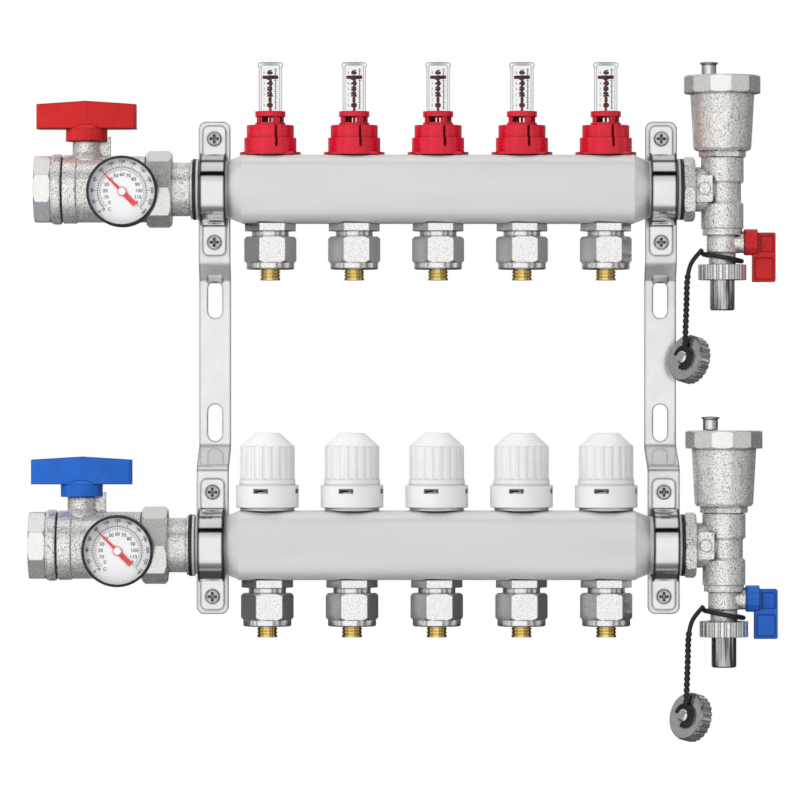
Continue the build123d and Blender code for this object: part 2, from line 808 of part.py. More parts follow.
groove = body_groove
with BuildPart() as valve_body:
    add(turned_along_x((spigot_end, 0), (spigot_end, union_thread_radius - snug),
                       (union_end, union_thread_radius - snug), (union_end, barrel_radius - 0.8),
                       (union_end - 0.8, barrel_radius), (barrel_end, barrel_radius),
                       (barrel_end, collar_radius - groove), (barrel_end - groove, collar_radius),
                       (bulge_start + groove, collar_radius), (bulge_start, collar_radius - 2 * groove),
                       (bulge_start - groove, bulge_radius - 0.3), (bulge_start - 2, bulge_radius),
                       (body_end + 2, bulge_radius), (body_end, bulge_radius - 0.8), (body_end, 0)))
    with BuildSketch(Plane.XY):
        with Locations((stem_x, 0)):
            Circle(bonnet_radius)
    extrude(amount=bonnet_top)
    with Locations((stem_x, 0, 0)):
        add(turned((0, 0), (bonnet_radius + bonnet_skirt, 0),
                   (bonnet_radius + bonnet_skirt, barrel_radius - bonnet_skirt),
                   (bonnet_radius, barrel_radius + bonnet_skirt), (0, barrel_radius + bonnet_skirt)))
    with BuildSketch(Plane.XZ):
        with BuildLine():
            Polyline((stem_x, barrel_radius - 3), (stem_x + lug_outer, barrel_radius - 3),
                     (stem_x + lug_outer, bonnet_top + lug_rise),
                     (stem_x + lug_outer - lug_tip, bonnet_top + lug_rise),
                     (stem_x + lug_outer - lug_tip, bonnet_top), (stem_x, bonnet_top), close=True)
        make_face()
    extrude(amount=lug_width / 2, both=True)
    gauge_x = union_end - stem_offset + gauge_stand
    gauge_back = -(union_flats / 2 / cos(radians(octagon_corner)) + free)
    with BuildSketch(Plane.XZ):
        with Locations((gauge_x, -gauge_drop)):
            Circle(gauge_boss_radius)
    extrude(amount=-gauge_back)
    add(turned_along_x((body_end - 1, 0), (body_end - 1, retainer_radius + snug),
                       (retainer_end, retainer_radius + snug), (retainer_end, chamber_radius),
                       (chamber_end, chamber_radius), (chamber_end, valve_bore),
                       (spigot_end + 1, valve_bore), (spigot_end + 1, 0)),
        mode=Mode.SUBTRACT)
    with BuildSketch(Plane.XY):
        with Locations((stem_x, 0)):
            Circle(stem_radius + snug)
    extrude(amount=bonnet_top, mode=Mode.SUBTRACT)
    with BuildSketch(Plane.XZ.offset(-gauge_back)):
        with Locations((gauge_x, -gauge_drop)):
            Circle(gauge_stem_radius + running)
    gauge_well = -gauge_back - valve_bore - 2.0
    extrude(amount=-gauge_well, mode=Mode.SUBTRACT)
for name, place in bar_places.items():
    write_copies(valve_body.part, [place], f"{name}_valve_body")

thread_end_x = inlet_end + inlet_thread_length
with BuildPart() as inlet:
    with Locations(along_octagon):
        add(prism_blank(8, inlet_flats, inlet_end, body_end, octagon_corner, inlet_corner_cut))
    add(turned_along_x((body_end, valve_bore), (body_end, retainer_radius),
                       (retainer_end, retainer_radius), (retainer_end, valve_bore)))
    add(turned_along_x((inlet_end - 1, 0), (inlet_end - 1, inlet_thread_radius),
                       (thread_end_x, inlet_thread_radius), (thread_end_x, valve_bore),
                       (retainer_end + 1, valve_bore), (retainer_end + 1, 0)),
        mode=Mode.SUBTRACT)
write_copies(inlet.part, bar_places.values(), "valve_inlet_ends")

slot_floor = ball_radius - ball_slot_depth
with BuildPart() as ball_and_stem:
    Sphere(ball_radius)
    with BuildSketch(Plane.YZ):
        Circle(valve_bore - 0.5)
    extrude(amount=ball_radius, both=True, mode=Mode.SUBTRACT)
    with BuildSketch(Plane.XY.offset(slot_floor)):
        Rectangle(2 * ball_radius, ball_slot_width)
    extrude(amount=ball_radius, mode=Mode.SUBTRACT)
handle_floor = bonnet_top + free
stem_top = handle_bottom + stem_grip
with BuildPart() as stem:
    with BuildSketch(Plane.XY.offset(slot_floor + running)):
        Rectangle(2 * stem_radius, ball_slot_width - 2 * running)
        Circle(stem_radius, mode=Mode.INTERSECT)
    extrude(amount=chamber_radius - slot_floor)
    with BuildSketch(Plane.XY.offset(chamber_radius)):
        Circle(stem_radius)
    extrude(amount=stem_top - chamber_radius)
with BuildPart() as spindle:
    add(ball_and_stem.part)
    add(stem.part)

with BuildPart() as handle:
    with BuildSketch(Plane.XZ):
        with BuildLine():
            Polyline((-handle_length / 2, handle_bottom), (handle_length / 2, handle_bottom),
                     (handle_length / 2, handle_end_top), (0, handle_peak),
                     (-handle_length / 2, handle_end_top), close=True)
        make_face()
    extrude(amount=handle_middle_depth, both=True)
    with BuildSketch(Plane.XY):
        with BuildLine():
            Polyline((-handle_length / 2, -handle_end_depth / 2), (0, -handle_middle_depth / 2),
                     (handle_length / 2, -handle_end_depth / 2), (handle_length / 2, handle_end_depth / 2),
                     (0, handle_middle_depth / 2), (-handle_length / 2, handle_end_depth / 2), close=True)
        make_face()
    extrude(amount=handle_peak + 1, mode=Mode.INTERSECT)
    fillet(handle.edges().filter_by(Axis.Z).group_by(Axis.X)[0], handle_corner)
    fillet(handle.edges().filter_by(Axis.Z).group_by(Axis.X)[-1], handle_corner)
    with BuildSketch(Plane.XY.offset(handle_bottom)):
        pocket = handle_length / 2 - handle_boss_radius - 2 * handle_wall
        with Locations((handle_boss_radius + handle_wall + pocket / 2, 0),
                       (-handle_boss_radius - handle_wall - pocket / 2, 0)):
            RectangleRounded(pocket, handle_end_depth - 2 * handle_wall, handle_wall)
    extrude(amount=handle_end_top - handle_bottom - 2 * handle_wall, mode=Mode.SUBTRACT)
    with BuildSketch(Plane.XZ):
        with BuildLine():
            Polyline((0, handle_bottom + handle_dome), (0, handle_floor), (handle_boss_radius, handle_floor),
                     (handle_boss_radius, handle_bottom))
            ThreePointArc((handle_boss_radius, handle_bottom),
                          (handle_boss_radius * 0.72, handle_bottom + handle_dome * 0.72),
                          (0, handle_bottom + handle_dome))
        make_face()
    revolve(axis=Axis.Z)
    with BuildSketch(Plane.XY.offset(handle_floor)):
        Circle(stem_radius + snug)
    extrude(amount=stem_top - handle_floor + snug, mode=Mode.SUBTRACT)

for name, place in bar_places.items():
    stem_place = place * Location((stem_x, 0, 0))
    write_copies(spindle.part, [stem_place], f"{name}_ball_and_stem")
    write_copies(handle.part, [stem_place], f"{name}_valve_handle")

seat_outer = chamber_radius - snug
with BuildPart() as seats:
    add(turned_along_x((chamber_end, valve_bore), (chamber_end, seat_outer),
                       (chamber_end - seat_width, seat_outer), (chamber_end - seat_width, valve_bore)))
    add(turned_along_x((retainer_end, valve_bore), (retainer_end, seat_outer),
                       (retainer_end + seat_width, seat_outer), (retainer_end + seat_width, valve_bore)))
    with Locations((stem_x, 0, 0)):
        Sphere(ball_radius + free, mode=Mode.SUBTRACT)
union_gasket = turned_along_x((collar_end, valve_bore), (collar_end, union_thread_radius - free),
                              (spigot_end, union_thread_radius - free), (spigot_end, valve_bore))
with BuildPart() as seals:
    for place in bar_places.values():
        with Locations(place):
            add(seats.part)
            add(union_gasket)
            add(end_gasket)
            add(other_gasket)
write(seals, "seals")

# Thermometers in front of the valves, turned about Y

gauge_front = gauge_back - gauge_depth
dial_back = gauge_back - dial_depth
lens_back = gauge_front + gauge_lip + lens_thickness
gauge_places = [place * Location((gauge_x, 0, -gauge_drop)) for place in bar_places.values()]


def turned_along_y(*outline):
    """A piece turned about Y from (radius, place along Y) points."""
    with BuildPart() as piece:
        with BuildSketch(Plane.XY):
            with BuildLine():
                Polyline(*outline, close=True)
            make_face()
        revolve(axis=Axis.Y)
    return piece.part


dial_radius = gauge_radius - gauge_wall
window_radius = gauge_radius - gauge_rim
lip_back = gauge_front + gauge_lip
case_back = gauge_back - gauge_back_wall
well_end = gauge_back + gauge_well - free
case = turned_along_y((0, well_end), (gauge_stem_radius, well_end), (gauge_stem_radius, gauge_back),
                      (gauge_radius - gauge_edge, gauge_back), (gauge_radius, gauge_back - gauge_edge),
                      (gauge_radius, gauge_front + gauge_edge), (gauge_radius - gauge_edge, gauge_front),
                      (window_radius, gauge_front), (window_radius, lip_back), (dial_radius + snug, lip_back),
                      (dial_radius + snug, dial_back), (window_radius, dial_back),
                      (window_radius, case_back), (0, case_back))
write_copies(case, gauge_places, "gauge_cases")
dial_front = dial_back - dial_thickness
pin_hole = needle_pin_radius + running
dial = turned_along_y((pin_hole, dial_back), (dial_radius, dial_back), (dial_radius, dial_front),
                      (pin_hole, dial_front))
write_copies(dial, gauge_places, "gauge_dials")
lens = turned_along_y((0, lens_back), (dial_radius, lens_back), (dial_radius, lens_back - lens_thickness),
                      (0, lens_back - lens_thickness))
write_copies(lens, gauge_places, "gauge_lenses")
needle_back = dial_front - free
needle_reach = dial_radius - needle_inset
with BuildPart() as needle:
    with BuildSketch(Plane.XZ.offset(-needle_back)):
        with BuildLine():
            Polyline((0, needle_half_width), (0, -needle_half_width), (needle_reach, -needle_tip),
                     (needle_reach, needle_tip), close=True)
        make_face()
        with Locations((-needle_tail_offset, 0)):
            Rectangle(needle_tail_length, needle_tail_width)
        Circle(needle_hub_radius)
    extrude(amount=needle_thickness)
    with BuildSketch(Plane.XZ.offset(-needle_back)):
        Circle(needle_pin_radius)
    extrude(amount=-(needle_thickness + dial_thickness + needle_pin_reach))
for name, place in zip(bar_places, gauge_places):
    write_copies(needle.part, [place * Location((0, 0, 0), (0, -needle_angle, 0))], f"{name}_gauge_needle")

# Tees on the right

octagon_end = fitting_start + tee_octagon_length
tee_x = fitting_start + tee_axis_offset
nose_x = octagon_end + nose_reach
octagon_flats = tee_octagon_across * cos(radians(octagon_corner))
pad_x = tee_x - pad_offset
pad_front = tee_nose_radius + pad_rise
with BuildPart() as tee:
    add(turned_along_x((fitting_start - shank_length, 0), (fitting_start - shank_length, shank_radius),
                       (fitting_start, shank_radius), (fitting_start, 0)))
    with Locations(along_octagon):
        add(prism_blank(8, octagon_flats, fitting_start, octagon_end, 0, 1.2))
    add(turned_along_x((octagon_end, 0), (octagon_end, tee_nose_radius), (nose_x, tee_nose_radius),
                       (nose_x, 0)))
    with Locations((nose_x, 0, 0)):
        Sphere(tee_nose_radius)
    with BuildSketch(Plane.XZ):
        with Locations((pad_x, 0)):
            RectangleRounded(pad_width, pad_height, 1.0)
    extrude(amount=pad_front)
    with BuildSketch(Plane.XZ.offset(pad_front)):
        with Locations((pad_x, 0)):
            Circle(pad_circle)
    extrude(amount=pad_circle_height)
    with Locations((tee_x, 0, 0)):
        add(turned((0, tee_top), (tee_high_radius, tee_top), (tee_high_radius, tee_socket_foot),
                   (tee_mid_radius, tee_socket_foot - tee_neck_slope),
                   (tee_mid_radius, -tee_low_socket + tee_neck_slope),
                   (tee_low_radius, -tee_low_socket), (tee_low_radius, -tee_bottom), (0, -tee_bottom)))
        add(turned((0, tee_top + 1), (tee_socket_bore, tee_top + 1), (tee_socket_bore, tee_socket_foot + 1),
                   (tee_bore, tee_socket_foot + 1), (tee_bore, -tee_low_socket - 1),
                   (tee_socket_bore, -tee_low_socket - 1), (tee_socket_bore, -tee_bottom - 1),
                   (0, -tee_bottom - 1)),
            mode=Mode.SUBTRACT)
    with BuildSketch(Plane.YZ.offset(fitting_start - shank_length)):
        Circle(tee_bore)
    extrude(amount=tee_axis_offset + shank_length, mode=Mode.SUBTRACT)
write_copies(tee.part, bar_places.values(), "end_tees")

# Air vents

right_places = [place * Location((tee_x, 0, 0)) for place in bar_places.values()]
vent_collar_foot = tee_top + vent_seat
vent_collar_top = vent_collar_foot + vent_collar_height
cup_top = vent_collar_top + vent_cup_height
lid_top = cup_top + vent_lid_height
collar_flats = vent_collar_across * cos(radians(30))
with BuildPart() as vent_body:
    add(turned((0, tee_socket_foot + 3), (tee_socket_bore - running, tee_socket_foot + 3),
               (tee_socket_bore - running, tee_top), (tee_high_radius - 1, tee_top),
               (tee_high_radius - 1, vent_collar_foot), (0, vent_collar_foot)))
    add(prism_blank(6, collar_flats, vent_collar_foot, vent_collar_top, vent_collar_turn, neck_slope))
    with BuildSketch(Plane.XZ):
        with BuildLine():
            Polyline((vent_cup_low - vent_cup_round, vent_collar_top), (0, vent_collar_top), (0, cup_top),
                     (vent_cup_high, cup_top), (vent_cup_low, vent_collar_top + vent_cup_round))
            RadiusArc((vent_cup_low, vent_collar_top + vent_cup_round),
                      (vent_cup_low - vent_cup_round, vent_collar_top), vent_cup_arc)
        make_face()
    revolve(axis=Axis.Z)
write_copies(vent_body.part, right_places, "vent_bodies")

lid_flats = vent_lid_across * cos(radians(15))
with BuildPart() as vent_lid:
    add(prism_blank(12, lid_flats, cup_top, lid_top, vent_lid_turn, 1.0))
    with BuildSketch(Plane.XY.offset(lid_top)):
        with Locations((-vent_cap_offset, 0)):
            Circle(nozzle_radius)
    extrude(amount=nozzle_height)
write_copies(vent_lid.part, right_places, "vent_lids")

vent_cap_foot = lid_top + free
vent_cap_top = lid_top + vent_cap_height
vent_flange_radius = vent_cap_radius + vent_cap_flange
vent_flange_foot = vent_cap_top - vent_cap_flange_height
nozzle_room = lid_top + nozzle_height + free
with BuildPart() as vent_cap:
    add(turned((nozzle_radius + running, vent_cap_foot), (vent_cap_radius, vent_cap_foot),
               (vent_cap_radius, vent_flange_foot), (vent_flange_radius, vent_flange_foot + 0.2),
               (vent_flange_radius, vent_cap_top - 0.6), (0, vent_cap_top), (0, nozzle_room),
               (nozzle_radius + running, nozzle_room)))
for name, place in zip(bar_places, right_places):
    write_copies(vent_cap.part, [place * Location((-vent_cap_offset, 0, 0))], f"{name}_vent_cap")

# Drain cocks

drain_top = -tee_bottom
collar_foot_z = drain_top - drain_collar_height
body_foot = collar_foot_z - drain_body_height
neck_foot = body_foot - drain_neck_height
nut_low = neck_foot - hose_nut_height
spindle_z = drain_top - spindle_drop
tail_seat = nut_low + hose_tail_seat
with BuildPart() as drain_body:
    add(turned((0, -tee_low_socket - 3), (tee_socket_bore - running, -tee_low_socket - 3),
               (tee_socket_bore - running, drain_top), (drain_collar_radius, drain_top),
               (drain_collar_radius, collar_foot_z), (drain_body_radius, collar_foot_z),
               (drain_body_radius, body_foot + neck_slope), (drain_neck_radius, body_foot),
               (drain_neck_radius, neck_foot - neck_slope), (drain_thread_radius, neck_foot - neck_slope),
               (drain_thread_radius, tail_seat), (0, tail_seat)))
    with BuildSketch(Plane.YZ):
        with Locations((0, spindle_z)):
            Circle(spindle_boss_radius)
    extrude(amount=spindle_boss_reach)
    with BuildSketch(Plane.XY.offset(nut_low)):
        Circle(drain_bore)
    extrude(amount=tee_bottom - nut_low, mode=Mode.SUBTRACT)
    with Locations((0, 0, spindle_z)):
        Sphere(drain_ball_radius + free, mode=Mode.SUBTRACT)
    with BuildSketch(Plane.YZ):
        with Locations((0, spindle_z)):
            Circle(spindle_radius + snug)
    extrude(amount=spindle_boss_reach, mode=Mode.SUBTRACT)
write_copies(drain_body.part, right_places, "drain_bodies")

lever_start = spindle_boss_reach + free
with BuildPart() as drain_spindle:
    Sphere(drain_ball_radius)
    with BuildSketch(Plane.YZ):
        Circle(spindle_radius)
    extrude(amount=lever_start + lever_hub_length - 1)
    with BuildSketch(Plane.XY.offset(-drain_ball_radius)):
        Circle(drain_bore)
    extrude(amount=2 * drain_ball_radius, mode=Mode.SUBTRACT)

hub_end = lever_start + lever_hub_length
with BuildPart() as lever:
    with BuildSketch(Plane.YZ.offset(lever_start)):
        RegularPolygon(lever_hub_radius, 12)
    extrude(amount=lever_hub_length)
    chamfer(lever.faces().sort_by(Axis.X)[0].edges(), 0.5)
    with BuildSketch(Plane.XZ):
        with BuildLine():
            Polyline((hub_end - 0.5, lever_top), (lever_right, lever_top), (lever_right, -lever_bottom),
                     (lever_left, -lever_bottom), (lever_left, -lever_hub_radius + 1),
                     (hub_end - 0.5, -lever_hub_radius + 1), close=True)
        make_face()
    extrude(amount=lever_thickness / 2, both=True)
    fillet(lever.edges().filter_by(Axis.Y).group_by(Axis.X)[-1], lever_round)
    with BuildSketch(Plane.XZ.offset(lever_thickness / 2)):
        with Locations(((hub_end + lever_right) / 2, -1)):
            RectangleRounded(lever_right - hub_end - 2 * lever_panel_margin, 2 * lever_top - 2,
                             lever_panel_round)
        with Locations(((lever_left + lever_right) / 2, -(lever_bottom + lever_hub_radius) / 2)):
            RectangleRounded(lever_right - lever_left - 2 * lever_panel_margin,
                             lever_bottom - lever_hub_radius - 2 * lever_panel_margin, lever_panel_round)
    extrude(amount=-lever_panel_depth, mode=Mode.SUBTRACT)
    with BuildSketch(Plane.YZ.offset(lever_start)):
        Circle(spindle_radius + snug)
    extrude(amount=lever_hub_length - 1 + snug, mode=Mode.SUBTRACT)
for name, place in zip(bar_places, right_places):
    spindle_place = place * Location((0, 0, spindle_z))
    write_copies(drain_spindle.part, [spindle_place], f"{name}_drain_spindle")
    write_copies(lever.part, [spindle_place], f"{name}_drain_lever")

web_top = nut_low + hose_nut_web
tail_foot = nut_low - hose_tail_length
tail_root = hose_tail_radius + hose_tail_step
with BuildPart() as hose_nut:
    with BuildSketch(Plane.XY.offset(nut_low)):
        Circle(hose_nut_radius)
        with PolarLocations(hose_nut_radius + knurl_inset, knurl_count):
            Circle(knurl_radius, mode=Mode.SUBTRACT)
    extrude(amount=hose_nut_height)
    add(turned((0, nut_low - 1), (tail_root + snug, nut_low - 1), (tail_root + snug, web_top),
               (drain_thread_radius + snug, web_top), (drain_thread_radius + snug, neck_foot + 1),
               (0, neck_foot + 1)),
        mode=Mode.SUBTRACT)
write_copies(hose_nut.part, right_places, "hose_nuts")

hose_tail = turned((hose_tail_bore, tail_seat), (drain_thread_radius - 0.2, tail_seat),
                   (drain_thread_radius - 0.2, web_top), (tail_root, web_top), (tail_root, nut_low),
                   (hose_tail_radius, nut_low), (hose_tail_radius, tail_foot + neck_slope),
                   (hose_tail_radius - neck_slope, tail_foot),
                   (hose_tail_bore, tail_foot))
write_copies(hose_tail, right_places, "hose_tails")

# Drain caps and their retaining straps

cap_face = Vector(-23.1, -5.0, -100.4)
cap_normal = Vector(-0.759, -0.616, 0.213).normalized()
cap_up = Vector(0.27, 0, 0.963).normalized()
cap_plane = Plane(origin=cap_face, x_dir=cap_up, z_dir=cap_normal)
rim_height = drain_cap_thickness - drain_cap_edge
with BuildPart() as drain_cap:
    with BuildSketch(cap_plane):
        Circle(drain_cap_radius - drain_cap_bevel)
    extrude(amount=-drain_cap_edge)
    with BuildSketch(cap_plane.offset(-drain_cap_edge)):
        Circle(drain_cap_radius)
        with PolarLocations(drain_cap_radius + knurl_inset, knurl_count):
            Circle(knurl_radius, mode=Mode.SUBTRACT)
    extrude(amount=-rim_height)
    with BuildSketch(cap_plane.offset(-drain_cap_thickness)):
        Circle(drain_thread_radius + 0.2)
    extrude(amount=drain_cap_thickness - drain_cap_floor, mode=Mode.SUBTRACT)
    with BuildSketch(cap_plane):
        Circle(button_radius)
    extrude(amount=button_height)
    fillet(drain_cap.faces().filter_by(GeomType.PLANE).sort_by(Axis(cap_face, cap_normal))[-1].edges(),
           button_height * 0.6)
write_copies(drain_cap.part, right_places, "drain_caps")

loop_middle = button_radius + loop_gap + strap_radius
loop_half = strap_radius * loop_width
loop_center = cap_face + cap_normal * (loop_half + running)
loop_top = loop_center + cap_up * loop_middle
strap_points = [
    Vector(-14.2, -2.4, -38.2),
    Vector(-17.6, -2.9, -41.9),
    Vector(-20.0, -3.4, -46.8),
    Vector(-21.3, -3.9, -54.5),
    Vector(-21.5, -4.5, -64.0),
    Vector(-21.9, -5.2, -74.5),
    Vector(-22.3, -5.9, -84.0),
    loop_top + Vector(-0.1, -0.2, 2.6),
]


def corner_radii(points):
    """The largest sensible arc at each inner point of a route."""
    radii = []
    for before, at, after in zip(points, points[1:], points[2:]):
        turn = (at - before).get_angle(after - at)
        run = min((at - before).length, (after - at).length)
        radii.append(0.45 * run / tan(radians(turn / 2)))
    return radii


with BuildPart() as strap:
    with BuildLine() as route:
        FilletPolyline(*strap_points, radius=corner_radii(strap_points))
    start_direction = strap_points[1] - strap_points[0]
    with BuildSketch(Plane(origin=strap_points[0], z_dir=start_direction)):
        Circle(strap_radius)
    sweep(path=route.wires()[0])
print("strap length", round(route.wires()[0].length, 2))
for name, place in zip(bar_places, right_places):
    write_copies(strap.part, [place], f"{name}_strap")

ring_center = Vector(0, 0, -40.7)
ring_axis = Vector(sin(radians(strap_ring_tilt)), 0, cos(radians(strap_ring_tilt)))
with BuildPart() as strap_ring:
    with Locations(Location(Plane(origin=ring_center, x_dir=(0, 1, 0), z_dir=ring_axis))):
        Torus(strap_ring_radius, strap_radius)
    with BuildSketch(Plane(origin=strap_points[0], z_dir=start_direction)):
        Circle(strap_radius)
    extrude(amount=-3.2)
end_direction = strap_points[-1] - strap_points[-2]
with BuildPart() as cap_loop:
    with BuildSketch(Plane(origin=loop_center, x_dir=cap_up, z_dir=cap_normal)):
        Circle(loop_middle + strap_radius)
        Circle(loop_middle - strap_radius, mode=Mode.SUBTRACT)
        with Locations((-loop_middle * 0.75, loop_middle * 0.75)):
            Rectangle(1.5 * loop_middle, 1.5 * loop_middle, mode=Mode.SUBTRACT)
    extrude(amount=loop_half, both=True)
    with BuildSketch(Plane(origin=strap_points[-1], z_dir=end_direction)):
        Circle(strap_radius)
    extrude(amount=2.6)
with BuildPart() as rings:
    for place in right_places:
        with Locations(place):
            add(strap_ring.part)
            add(cap_loop.part)
write(rings, "strap_rings")

print("bracket span", bracket_span, "supply z", supply_z, "return z", return_z)
print("supply y", supply_y, "return y", return_y, "inlet end", inlet_end, "tee x", tee_x)
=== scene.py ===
# %% [markdown]
# # A heating manifold, dressed for the camera
# The solids of the manifold come in as a fixed frame, already at their true size and place.
# This lesson gives them their finishes, adds the fine pieces that are too small for the solids,
# and lights them as a small object is lit in a white studio.

# %% Load the frame
import bpy
import bmesh
import math
from mathutils import Matrix, Vector


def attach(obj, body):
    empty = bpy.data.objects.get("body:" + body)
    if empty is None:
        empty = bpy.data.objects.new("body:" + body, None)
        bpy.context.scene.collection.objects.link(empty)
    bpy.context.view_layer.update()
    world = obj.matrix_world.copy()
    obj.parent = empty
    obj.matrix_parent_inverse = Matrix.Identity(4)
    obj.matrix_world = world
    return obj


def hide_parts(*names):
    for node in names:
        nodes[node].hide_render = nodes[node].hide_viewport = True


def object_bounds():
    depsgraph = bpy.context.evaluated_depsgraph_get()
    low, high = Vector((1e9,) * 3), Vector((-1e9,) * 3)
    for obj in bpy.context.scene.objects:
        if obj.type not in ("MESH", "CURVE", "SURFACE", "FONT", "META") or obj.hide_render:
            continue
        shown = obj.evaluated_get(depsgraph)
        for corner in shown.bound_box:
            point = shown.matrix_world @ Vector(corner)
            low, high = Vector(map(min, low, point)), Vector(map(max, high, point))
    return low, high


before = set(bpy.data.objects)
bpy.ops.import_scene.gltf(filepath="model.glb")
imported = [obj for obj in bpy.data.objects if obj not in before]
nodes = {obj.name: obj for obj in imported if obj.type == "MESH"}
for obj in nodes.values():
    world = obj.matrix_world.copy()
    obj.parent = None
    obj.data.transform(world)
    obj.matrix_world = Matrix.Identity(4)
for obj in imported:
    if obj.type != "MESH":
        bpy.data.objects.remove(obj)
cad_low, cad_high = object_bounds()
print("nodes", len(nodes), "box", [round(c, 4) for c in cad_low], [round(c, 4) for c in cad_high])

# %% [markdown]
# ## Places
# The two sets of fittings are alike, so one list of places serves both. A set's place is on the axis
# of its bar, at the middle port. All lengths are metres.

# %% Places of the two sets
MM = 0.001
SETS = {
    "supply": Vector((134.0, -32.0, 102.25)) * MM,
    "return": Vector((133.0, -62.0, -109.0)) * MM,
}
PORTS = [(number - 2) * 50.0 * MM for number in range(5)]
GAUGE = Vector((-186.7, 0.0, -2.5)) * MM
TEE_X = 169.5 * MM
print("sets", list(SETS))

# %% [markdown]
# ## The camera
# The photograph shows hardly any perspective: both ends of the bars look the same size and no
# tube shows its side. So the camera stands far off with a long lens and looks straight along +Y.

# %% Camera
camera_data = bpy.data.cameras.new("camera")
camera_data.lens = 224.0
camera_data.sensor_width = 36.0
camera_data.clip_end = 20.0
camera = bpy.data.objects.new("camera", camera_data)
camera.location = Vector((111.3, -3000.0, -23.3)) * MM
camera.rotation_euler = (math.radians(90), 0, 0)
bpy.context.collection.objects.link(camera)
bpy.context.scene.camera = camera
bpy.context.scene.view_settings.view_transform = "Standard"
print("camera", [round(c, 3) for c in camera.location])

# %% [markdown]
# ## Writing shaders as expressions
# A shader is a formula, so it reads best as one. This class wraps a socket, and each operator adds
# the node that works it out. Any other node comes from `node`, which returns all its outputs, and
# the constants below say which of them is meant.

# %% The socket class
OCCLUSION_SHARE, SURFACE_NORMAL, DOT_VALUE, FACING = 1, 1, 1, 1
GENERATED_PLACE, OBJECT_PLACE = 0, 3
CAMERA_RAY, GLOSSY_RAY, TRANSMISSION_RAY = 0, 3, 6
MIX_FACTOR, MIX_FIRST, MIX_SECOND, MIX_RESULT = 0, 6, 7, 2


class Socket:
    """A node socket in an expression."""

    def __init__(self, tree, out):
        self.tree = tree
        self.out = out

    def math(self, operation, *others):
        """Add the Math node of an operation, with this socket as its first value."""
        return node(self.tree, "ShaderNodeMath", {"operation": operation}, [self, *others])[0]

    def __add__(self, other):
        return self.math("ADD", other)

    def __mul__(self, other):
        return self.math("MULTIPLY", other)

    __radd__ = __add__
    __rmul__ = __mul__


def node(tree, kind, settings=None, inputs=None):
    """Add a node, set it up, feed its inputs and return its outputs."""
    made = tree.nodes.new(kind)
    for key, value in (settings or {}).items():
        if key == "stops":
            ramp = made.color_ramp
            while len(ramp.elements) < len(value):
                ramp.elements.new(0.5)
            for element, (at, colour) in zip(ramp.elements, value):
                element.position = at
                element.color = (*colour, 1.0)
        else:
            setattr(made, key, value)
    pairs = inputs.items() if isinstance(inputs, dict) else enumerate(inputs or [])
    for key, value in pairs:
        if isinstance(value, Socket):
            tree.links.new(value.out, made.inputs[key])
        elif value is not None:
            made.inputs[key].default_value = value
    return [Socket(tree, out) for out in made.outputs]


def mix(tree, factor, first, second):
    """Blend two colours by a factor."""
    made = tree.nodes.new("ShaderNodeMix")
    made.data_type = "RGBA"
    for index, value in ((MIX_FACTOR, factor), (MIX_FIRST, first), (MIX_SECOND, second)):
        if isinstance(value, Socket):
            tree.links.new(value.out, made.inputs[index])
        else:
            made.inputs[index].default_value = (*value, 1.0)
    return Socket(tree, made.outputs[MIX_RESULT])


def remap(value, low, high, first=0.0, last=1.0):
    """Map the range from low to high onto the one from first to last, and hold beyond its ends."""
    return node(value.tree, "ShaderNodeMapRange", None, [value, low, high, first, last])[0]


print("shader helpers ready")

# %% [markdown]
# ## Wear and grain
# No real surface is quite even. Colour, roughness and relief all drift with a noise that is fixed
# to the object, and a noise that is stretched along one axis gives the marks of grinding.

# %% Noises
NOISE_LOW, NOISE_HIGH = 0.3, 0.7


def noise(tree, scale, detail=2.0, stretch=(1, 1, 1)):
    """Noise from 0 to 1, with its scale in waves per metre."""
    coordinates = node(tree, "ShaderNodeTexCoord")[OBJECT_PLACE]
    place = node(tree, "ShaderNodeMapping", None, {"Vector": coordinates, "Scale": stretch})[0]
    return node(tree, "ShaderNodeTexNoise", None, {"Vector": place, "Scale": scale, "Detail": detail})[0]


def between(value, low, high):
    """Spread the middle of a noise over a range."""
    return remap(value, NOISE_LOW, NOISE_HIGH, low, high)


def tones(scale, first, second, detail=2.0, stretch=(1, 1, 1)):
    """A colour that drifts between two, as a function of the node tree."""
    return lambda tree: mix(tree, between(noise(tree, scale, detail, stretch), 0, 1), first, second)


def values(scale, low, high, detail=2.0, stretch=(1, 1, 1)):
    """A value that drifts over a range, as a function of the node tree."""
    return lambda tree: between(noise(tree, scale, detail, stretch), low, high)


def grain(scale, detail=2.0, stretch=(1, 1, 1)):
    """A fine relief, as a function of the node tree."""
    return lambda tree: noise(tree, scale, detail, stretch)


print("noises ready")

# %% [markdown]
# ## A finish
# Every finish here is one Principled shader. Colour, roughness and the fine relief vary over the
# surface, and the rest is set once. Three things make a solid look made and not drawn. Its edges are
# never quite sharp, so a Bevel node rounds the surface's direction there and each edge catches its
# own thin line of light. Where that direction leaves the face's own, the colour can turn dark: a
# painted shade line on outer edges, standing in for the dark reflection that a rounded edge of
# plated sheet or painted metal catches. And an Ambient Occlusion node paints shade into the colour
# where the surface is shut in, in joints and grooves.

# %% The finish maker
def shut_in(tree, reach):
    """Mask of painted shade in joints: 0 deep in a joint, 1 on an open surface."""
    share = node(tree, "ShaderNodeAmbientOcclusion", {"samples": 6}, {"Distance": reach})[OCCLUSION_SHARE]
    return remap(share, low=0.30, high=0.80)


def off_edge(tree, rounded):
    """Mask of the painted shade line on outer edges: 0 on an outer edge, where the rounded direction
    leaves the face's own, and 1 on a face.
    """
    face = node(tree, "ShaderNodeNewGeometry")[SURFACE_NORMAL]
    together = node(tree, "ShaderNodeVectorMath", {"operation": "DOT_PRODUCT"}, [rounded, face])[DOT_VALUE]
    return remap(together, low=0.93, high=0.995)


